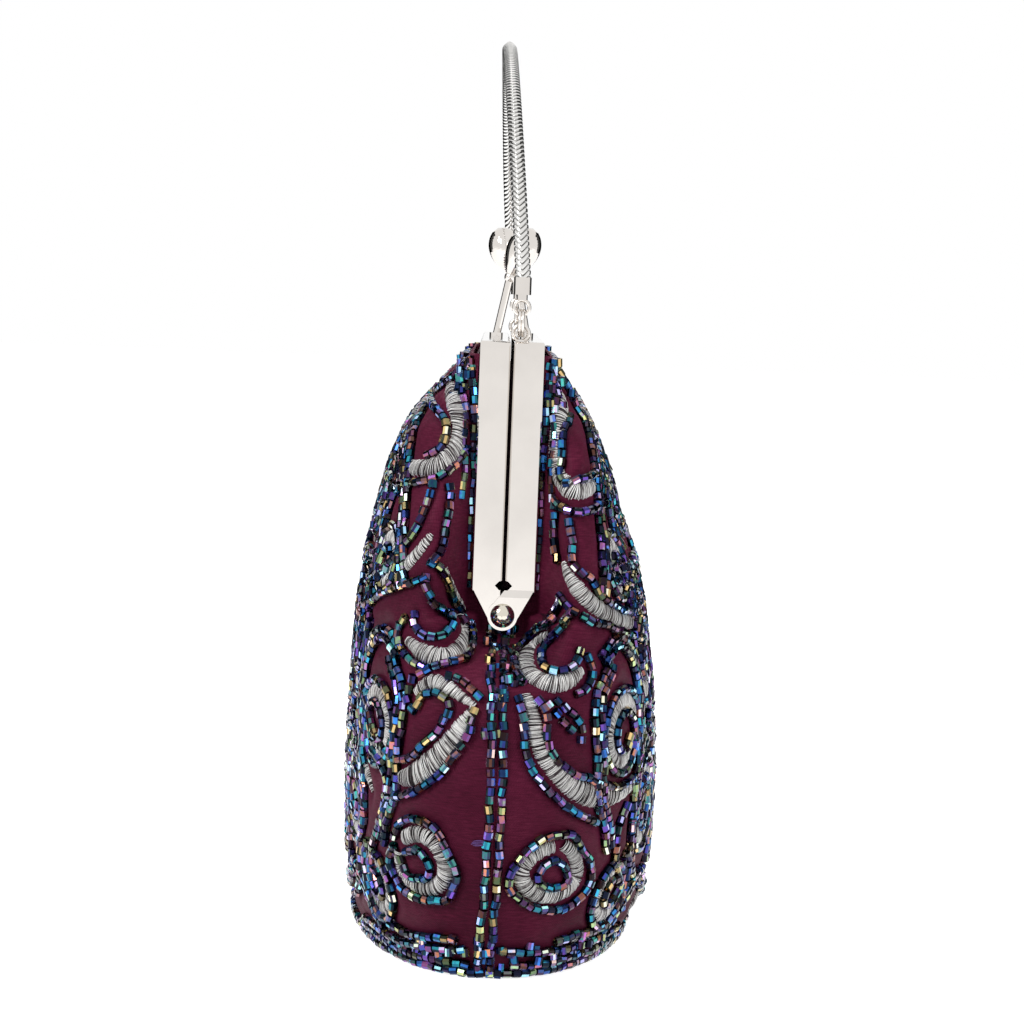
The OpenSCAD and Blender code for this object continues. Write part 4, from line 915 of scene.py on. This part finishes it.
def arcOver(width, share):
    height = stitchSetup["padHeight"] * min(1, width / stitchSetup["fullWidth"])
    return height * np.sqrt(np.maximum(0, 1 - share**2)) - stitchSetup["sink"]


def makeBands(tag, half, bands):
    side = sides[tag]
    chance = np.random.default_rng(seeds["stitch" + tag.capitalize()])
    share = np.array(stitchSetup["across"])
    routes, padPoints, padFaces = [], [], []
    for angles, heights, widths in bands:
        middle = clothPoint(side, angles, heights)
        normal = clothNormal(side, angles, heights)
        way = unit(np.gradient(middle, axis=0))
        across = np.cross(normal, way)
        padFaces += gridFaces(len(middle), len(share), first=len(padPoints))
        for k, width in enumerate(widths):
            lean = stitchSetup["slant"] + chance.normal(0, stitchSetup["lean"])
            off = share * (width / 2 + chance.uniform(*stitchSetup["jitter"]))
            lift = arcOver(width, share) + chance.normal(*stitchSetup["rise"])
            sway = chance.normal(0, stitchSetup["sway"], 1)
            routes.append(middle[k] + np.outer(off, across[k]) + np.outer(lift, normal[k])
                + np.outer(lean * off * stitchSetup["curve"] + sway, way[k]))
            padPoints += list(middle[k] + np.outer(share * width / 2 * stitchSetup["padShare"], across[k])
                + np.outer(arcOver(width, share) - stitchSetup["padSink"], normal[k]))
    stitches = runTree(routeMesh(tag + half + "Stitches", routes), threadStitches,
        {"Radius": stitchSetup["radius"], "Sides": 3, "Material": silverThread})
    # the pads are near black: painted shade in the gaps between threads
    pads = meshObject(tag + half + "Pads", np.array(padPoints) * mm, padFaces, padPaintedShade, True)
    for piece in (stitches, pads):
        blendWithFrame(piece)


def liftRow(side, row, lift):
    angles, heights = row
    return clothPoint(side, angles, heights) + clothNormal(side, angles, heights) * lift


# rows along each leg and the top of a half frame; a leg's row starts off the edge, from the hinge, from the top
edgeRowSetup = {"legs": ((0, 6.5, 7.5), (2.1, 26, 9.5)), "edge": 0.75, "sway": 0.25, "lift": 0.45,
    "legPoints": 46, "topDrop": 5.6, "topInset": 5.5, "topLift": 0.5, "topPoints": 90}


def frameRoute(tag):
    side, setup = sides[tag], edgeRowSetup
    y = body["panelIn"] + setup["edge"]
    rows = []
    for end in ends.values():
        for off, first, last in setup["legs"]:
            heights = np.linspace(hingeZ + first, frameTop - last, setup["legPoints"])
            sway = off + (setup["sway"] * np.sin(heights * 0.5) if off else 0 * heights)
            rows.append(liftRow(side, (angleAtEnd(end, y + sway, heights), heights), setup["lift"]))
    low, reach = frameTop - setup["topDrop"], webX - setup["topInset"]
    angles = angleOnFace(np.linspace(reach, -reach, setup["topPoints"]), low)
    return [*rows, liftRow(side, (angles, np.full(len(angles), low)), setup["topLift"])]


# the seam's two rows: half their spacing, and how far they bend to the front at a height, in millimetres
seamSetup = {"spread": 1.25, "bend": [(0, -1.3), (7, -1.1), (21, -0.3), (36, 0), (50, 0), (66, -0.6),
    (78, -0.6)], "low": 2.6, "underHinge": 4.4, "step": 0.5, "sway": 0.14, "out": 0.65}


def seamRoutes():
    routes = []
    for end in ends.values():
        heights = np.arange(seamSetup["low"], hingeZ - seamSetup["underHinge"], seamSetup["step"])
        bend = np.interp(heights, *zip(*seamSetup["bend"])) if end > 0 else 0 * heights
        for row in (-1, 1):
            y = row * (seamSetup["spread"] + seamSetup["sway"] * np.sin(heights * 0.7 + row)) + bend
            angles = angleAtEnd(end, y, heights)
            base = np.array([clothPoint(np.sign(v), a, z) for v, a, z in zip(y, angles, heights)])
            base[:, 0] += end * seamSetup["out"]
            routes.append(base)
    return routes


# loose beads that lie any way round: distance from the seam and height of the middle, spread of both, and count
looseSetup = {"seamTop": (0.2, 69.5, 3.4, 5.0, 26), "seamBelow": (-0.4, 59.0, 2.4, 6.0, 14),
    "seamLow": (0.0, 5.2, 2.6, 3.4, 9), "hemFront": (-13, 5.4, 10, 2.2, 14), "hemBack": (14, 6.2, 10, 2.4, 14),
    "cornerFront": (-10.2, 128.6, 2.0, 4.0, 6), "cornerBack": (10.4, 127.8, 2.2, 4.4, 6),
    "topFront": (-8.7, 131.6, 1.2, 2.6, 10), "topBack": (8.6, 131.0, 1.0, 2.6, 8)}
loosePlace = {"lift": 0.75, "endways": 0.8, "half": 0.9}


def looseRoutes():
    chance = np.random.default_rng(seeds["loosePlaces"])
    routes = {"pouch": [], "front_frame": [], "back_frame": []}
    for y, z, wide, high, count in looseSetup.values():
        for end in ends.values():
            for _ in range(count):
                py, pz = y + chance.uniform(-wide, wide), z + chance.uniform(-high, high)
                side = 1 if py > 0 else -1
                place = liftRow(side, (angleAtEnd(end, py, pz), pz), loosePlace["lift"])
                way = chance.normal(0, 1, 3) + np.array([end * loosePlace["endways"], 0, 0])
                way *= loosePlace["half"] / np.linalg.norm(way)
                owner = "pouch" if pz < hingeZ else ("back_frame" if side > 0 else "front_frame")
                routes[owner].append(np.array([place - way, place + way]))
    return routes


baseRowSetup = {"height": 1.15, "outlineAt": 1.6, "out": 0.85, "points": 361}


def baseRoute():
    turn = np.linspace(0, 2 * math.pi, baseRowSetup["points"])
    a, b, n = (float(v) for v in outline(baseRowSetup["outlineAt"]))
    x = (a + baseRowSetup["out"]) * powSign(np.cos(turn), 2 / n)
    y = (b + baseRowSetup["out"]) * powSign(np.sin(turn), 2 / n)
    return [np.stack([x, y, np.full(len(turn), baseRowSetup["height"])], axis=1)]


# lining: a sheet inside each side, with soft upright folds, and a covered floor
liningSetup = {"inset": 1.5, "low": 1.7, "under": 0.6, "fold": 0.35, "folds": 34, "waver": 1.5, "waveHeight": 17,
    "fade": 8, "columns": 170, "rowGap": 1.6, "thickness": 0.3}


def makeLining(tag):
    side = sides[tag]
    top = hingeZ + body["frameRise"] * clothSetup["top"] - liningSetup["under"]
    inset, low = liningSetup["inset"], liningSetup["low"]
    angles, heights = clothGrid(side, low, top, liningSetup["rowGap"], liningSetup["columns"], inset)
    z = heights[:, None]
    points, normals = clothPoint(side, angles, z, inset), clothNormal(side, angles, z, inset)
    waver = liningSetup["waver"] * np.sin(z / liningSetup["waveHeight"] + angles * 3)
    fold = 0.5 + 0.5 * np.sin(liningSetup["folds"] * angles + waver)
    fade = np.clip(np.minimum(top - z, z - low) / liningSetup["fade"], 0, 1) * np.minimum(1, np.sin(angles) * 4)
    shape = points - normals * (liningSetup["fold"] * fold * fade)[..., None]
    lining = gridMesh(tag + "Lining", shape, points, heights, side < 0, liningSetup["thickness"], liningSatin)
    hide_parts("panel_lining_" + tag, *(["pouch_lining"] if side < 0 else []))
    blendWithFrame(lining)


# an oval plate from rings: share of the outline, height, and growth past the outline
def ovalPiece(name, rings, material, steps=120):
    turn = np.linspace(0, 2 * math.pi, steps, endpoint=False)
    points = []
    for share, z, grow in rings:
        a, b, n = (float(v) for v in outline(z))
        x = (a + grow) * share * powSign(np.cos(turn), 2 / n)
        y = (b + grow) * share * powSign(np.sin(turn), 2 / n)
        points += list(np.stack([x, y, np.full(steps, z)], axis=1) * mm)
    faces, last = gridFaces(len(rings), steps, True), (len(rings) - 1) * steps
    for j in range(steps):
        faces.append((len(points), (j + 1) % steps, j))
        faces.append((len(points) + 1, last + j, last + (j + 1) % steps))
    points += [(0, 0, rings[0][1] * mm), (0, 0, rings[-1][1] * mm)]
    obj = meshObject(name, points, faces, material, True)
    layer = obj.data.uv_layers.new(name="cloth")
    for loop in obj.data.loops:
        layer.data[loop.index].uv = obj.data.vertices[loop.vertex_index].co[:2]
    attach(obj, "pouch")
    return obj


# snake chain: links whose rims dip to a V at the front and back. Each ring: share of the radius, place, and how
# much painted shade it gets in the grooves between links
chainSetup = {"pitch": 1.26, "diameter": 3.3, "bow": 4.8, "foot": 1.0, "ridge": 1.5, "square": 0.05,
    "sides": 24, "points": 200, "rings": ((0.70, -0.50, 1.0), (0.95, -0.38, 0.5), (1.0, -0.05, 0.0),
    (0.99, 0.28, 0.0), (0.90, 0.52, 0.35), (0.72, 0.62, 0.9))}


def chainLink():
    count, rings = chainSetup["sides"], chainSetup["rings"]
    turn = np.linspace(0, 2 * math.pi, count, endpoint=False)
    ridge = chainSetup["ridge"] * (np.abs(np.sin(turn)) - 0.5)
    radius = chainSetup["diameter"] / 2 * (1 + chainSetup["square"] * np.cos(4 * turn))
    points = [np.stack([share * radius * np.cos(turn), share * radius * np.sin(turn),
        z * chainSetup["pitch"] + ridge], axis=1) for share, z, paintedGrooveShade in rings]
    link = meshObject("chainLink", np.vstack(points) * mm, gridFaces(len(rings), count, True))
    # painted shade in the grooves between links, one level for each ring
    depth = link.data.attributes.new("paintedGrooveShade", "FLOAT", "POINT")
    depth.data.foreach_set("value", np.repeat([paintedGrooveShade for share, z, paintedGrooveShade in rings], count))
    return link


def chainTree():
    tree, given, result = newTree("snakeChain", [("Link", "Object", None), ("Pitch", "Float", 0.0016),
        ("Material", "Material", None)])
    spaced = addNode(tree, "GeometryNodeResampleCurve", {"Curve": routeCurve(tree, given),
        "Length": given["Pitch"]}, mode="LENGTH")
    link = addNode(tree, "GeometryNodeObjectInfo", {"Object": given["Link"]}).outputs["Geometry"]
    flat = addNode(tree, "FunctionNodeAlignRotationToVector", {"Vector": (0, 1, 0)}, axis="Y").outputs[0]
    way = addNode(tree, "GeometryNodeInputTangent").outputs[0]
    turned = addNode(tree, "FunctionNodeAlignRotationToVector", {"Rotation": flat, "Vector": way}, axis="Z",
        pivot_axis="Y").outputs[0]
    placed = addNode(tree, "GeometryNodeInstanceOnPoints", {"Points": spaced.outputs[0], "Instance": link,
        "Rotation": turned}).outputs[0]
    closeTree(tree, placed, given, result, True)
    return tree


def makeChain():
    chainLow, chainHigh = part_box("snake_chain")
    radius = chainSetup["diameter"] / 2
    half = (chainHigh[0] - chainLow[0]) / 2 / mm - radius
    y, top = chainHigh[1] / mm - radius, chainHigh[2] / mm - radius
    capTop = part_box("chain_cap_right")[1][2] / mm
    turn = np.linspace(0, math.pi, chainSetup["points"])
    rise = np.maximum(np.sin(turn), 0)
    bow = chainSetup["bow"] * np.where(turn > math.pi / 2, np.sqrt(rise), rise)
    arch = np.stack([half * np.cos(turn), y - bow, capTop + (top - capTop) * rise], axis=1)
    feet = [[[end * half, y, capTop - chainSetup["foot"]]] for end in (1, -1)]
    link = chainLink()
    chain = runTree(routeMesh("snakeChain", [np.vstack([feet[0], arch, feet[1]])]), chainTree(),
        {"Link": link, "Pitch": chainSetup["pitch"] * mm, "Material": chainNickel})
    bpy.data.objects.remove(link)
    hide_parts("snake_chain")
    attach(chain, "handle")


# a twisted cord round a path: strands, length of one turn, depth between strands
cordSetup = {"strands": 3, "turn": 5.5, "ridge": 0.16, "sides": 18, "gap": 0.9}


def twistedCord(name, path, y, radius):
    run = runAlong(path)
    places = np.linspace(0, run[-1], int(run[-1] / cordSetup["gap"]))
    x, z = np.interp(places, run, path[:, 0]), np.interp(places, run, path[:, 1])
    way = unit(np.gradient(np.stack([x, z], axis=1), axis=0))
    count, strands = cordSetup["sides"], cordSetup["strands"]
    turn = np.linspace(0, 2 * math.pi, count, endpoint=False)
    points = []
    for k, place in enumerate(places):
        twist = 2 * math.pi * place / cordSetup["turn"] / strands
        swell = 1 - cordSetup["ridge"] * (1 - np.abs(np.cos(strands / 2 * (turn - twist))))
        out, aside = radius * swell * np.cos(turn), radius * swell * np.sin(turn)
        points.append(np.stack([x[k] - way[k, 1] * out, y + aside, z[k] + way[k, 0] * out], axis=1))
    last = (len(points) - 1) * count
    faces = gridFaces(len(points), count, True) + [tuple(range(count))[::-1], tuple(range(last, last + count))]
    cord = meshObject(name, np.vstack(points) * mm, faces, twistedCotton, True)
    return cord


# (x, z) up one leg, across with rounded corners and down the other leg
def archPath(half, top, low, corner=3.0, steps=9):
    bend = np.linspace(0, math.pi / 2, steps)
    right = np.stack([half - corner + corner * np.cos(bend), top - corner + corner * np.sin(bend)], axis=1)
    left = right[::-1] * np.array([-1, 1])
    return np.vstack([[[half, low]], right, left, [[-half, low]]])


def makeBindingCord(tag):
    low, high = (np.array(corner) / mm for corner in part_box("binding_cord_" + tag))
    radius = (high[1] - low[1]) / 2
    cord = twistedCord(tag + "BindingCord", archPath(high[0] - radius, high[2] - radius, low[2]),
        (low[1] + high[1]) / 2, radius)
    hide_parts("binding_cord_" + tag)
    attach(cord, tag + "_frame")


# piping along the mouth, inside the lining of the back half; its reach is taken from the cloth at a height
pipingSetup = {"radius": 1.2, "y": 0.7, "inset": 3.9, "drop": 8.4, "foot": 5.0, "probe": (1.5, 20)}


def makePiping():
    aside, under = pipingSetup["probe"]
    cloth = clothPoint(1, angleAtEnd(1, aside, frameTop - under), frameTop - under)
    half, top = abs(cloth[0]) - pipingSetup["inset"], frameTop - pipingSetup["drop"]
    path = archPath(half, top, hingeZ + pipingSetup["foot"])
    cord = twistedCord("mouthPiping", path, pipingSetup["y"], pipingSetup["radius"])
    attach(cord, "back_frame")


# a loose end of purple thread beside the seam
tuftSetup = {"strands": 5, "reach": 3.6, "y": -1.3, "height": 31.2, "out": 0.7, "arch": 0.5, "radius": 0.00009,
    "points": 9, "length": (0.8, 1.0), "wave": (-0.3, 0.5), "drop": (-0.7, 0.2), "colour": (0.13, 0.06, 0.24, 1)}


def makeTuft():
    material, tree, shader = newMaterial("purpleThread")
    setInputs(tree, shader, {"Base Color": tuftSetup["colour"], "Roughness": 0.6})
    chance = np.random.default_rng(seeds["tuft"])
    share = np.linspace(0, 1, tuftSetup["points"])
    routes = []
    for _ in range(tuftSetup["strands"]):
        y = tuftSetup["y"] - tuftSetup["reach"] * chance.uniform(*tuftSetup["length"]) * share
        wave = chance.uniform(*tuftSetup["wave"]) * np.sin(3 * share)
        z = tuftSetup["height"] + wave + chance.uniform(*tuftSetup["drop"]) * share
        base = clothPoint(-1, angleAtEnd(1, y, z), z)
        base[:, 0] += tuftSetup["out"] + tuftSetup["arch"] * np.sin(math.pi * share)
        routes.append(base)
    tuft = runTree(routeMesh("threadTuft", routes), threadStitches,
        {"Radius": tuftSetup["radius"], "Sides": 4, "Material": material})
    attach(tuft, "pouch")


# near-black pads under the thread bands, so the gaps between threads show painted shade
padPaintedShade = satinFinish("padPaintedShade", (0.020, 0.012, 0.016), (0.05, 0.04, 0.045), 500.0, 0.6)
for tag, side in sides.items():
    halves = {half.capitalize(): halfScrolls(side, end) for half, end in ends.items()}
    makeCloth(tag, [row[:2] for rows, bands in halves.values() for row in rows + bands])
    for half, (rows, bands) in halves.items():
        routes = [liftRow(side, row, rowSetup["lift"]) for row in rows]
        scroll = makeBeads(tag + half + "ScrollBeads", routes, seeds["scroll" + half] + side)
        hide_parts("pouch_scrolls_" + tag, "panel_scrolls_" + tag)
        blendWithFrame(scroll)
        makeBands(tag, half, bands)
    makeLining(tag)
    makeBindingCord(tag)
    edging = makeBeads(tag + "FrameBeads", frameRoute(tag), seeds["frame"] + side)
    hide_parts("frame_beads_" + tag)
    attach(edging, tag + "_frame")
    print(tag, "side made")

seam = makeBeads("seamBeads", seamRoutes(), seeds["seam"])
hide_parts("seam_beads_right", "seam_beads_left")
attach(seam, "pouch")
for owner, routes in looseRoutes().items():
    loose = makeBeads("looseBeads_" + owner, routes, seeds["loose"], looseBeadRows)
    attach(loose, owner)
hem = makeBeads("baseBeads", baseRoute(), seeds["hem"])
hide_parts("base_beads")
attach(hem, "pouch")
baseRings = [(0.9, 0.0, 0), (0.985, 0.0, -0.6), (0.995, 0.5, -0.5), (0.995, 1.4, -0.7), (0.9, 1.6, -0.8)]
floorRings = [(0.97, 1.65, -1.5), (0.98, 1.85, -1.5), (0.96, 2.1, -1.6), (0.5, 2.2, -1.6)]
base = ovalPiece("basePanel", baseRings, plumSatin)
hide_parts("base_panel")
ovalPiece("floorLining", floorRings, liningSatin)
makeChain()
makePiping()
makeTuft()

for name, node in frame["nodes"].items():
    if node.data.materials and not node.hide_render:
        finish = rivetNickel if "rivet" in name else polishedNickel
        for index in range(len(node.data.materials)):
            node.data.materials[index] = finish
print("metal parts finished")
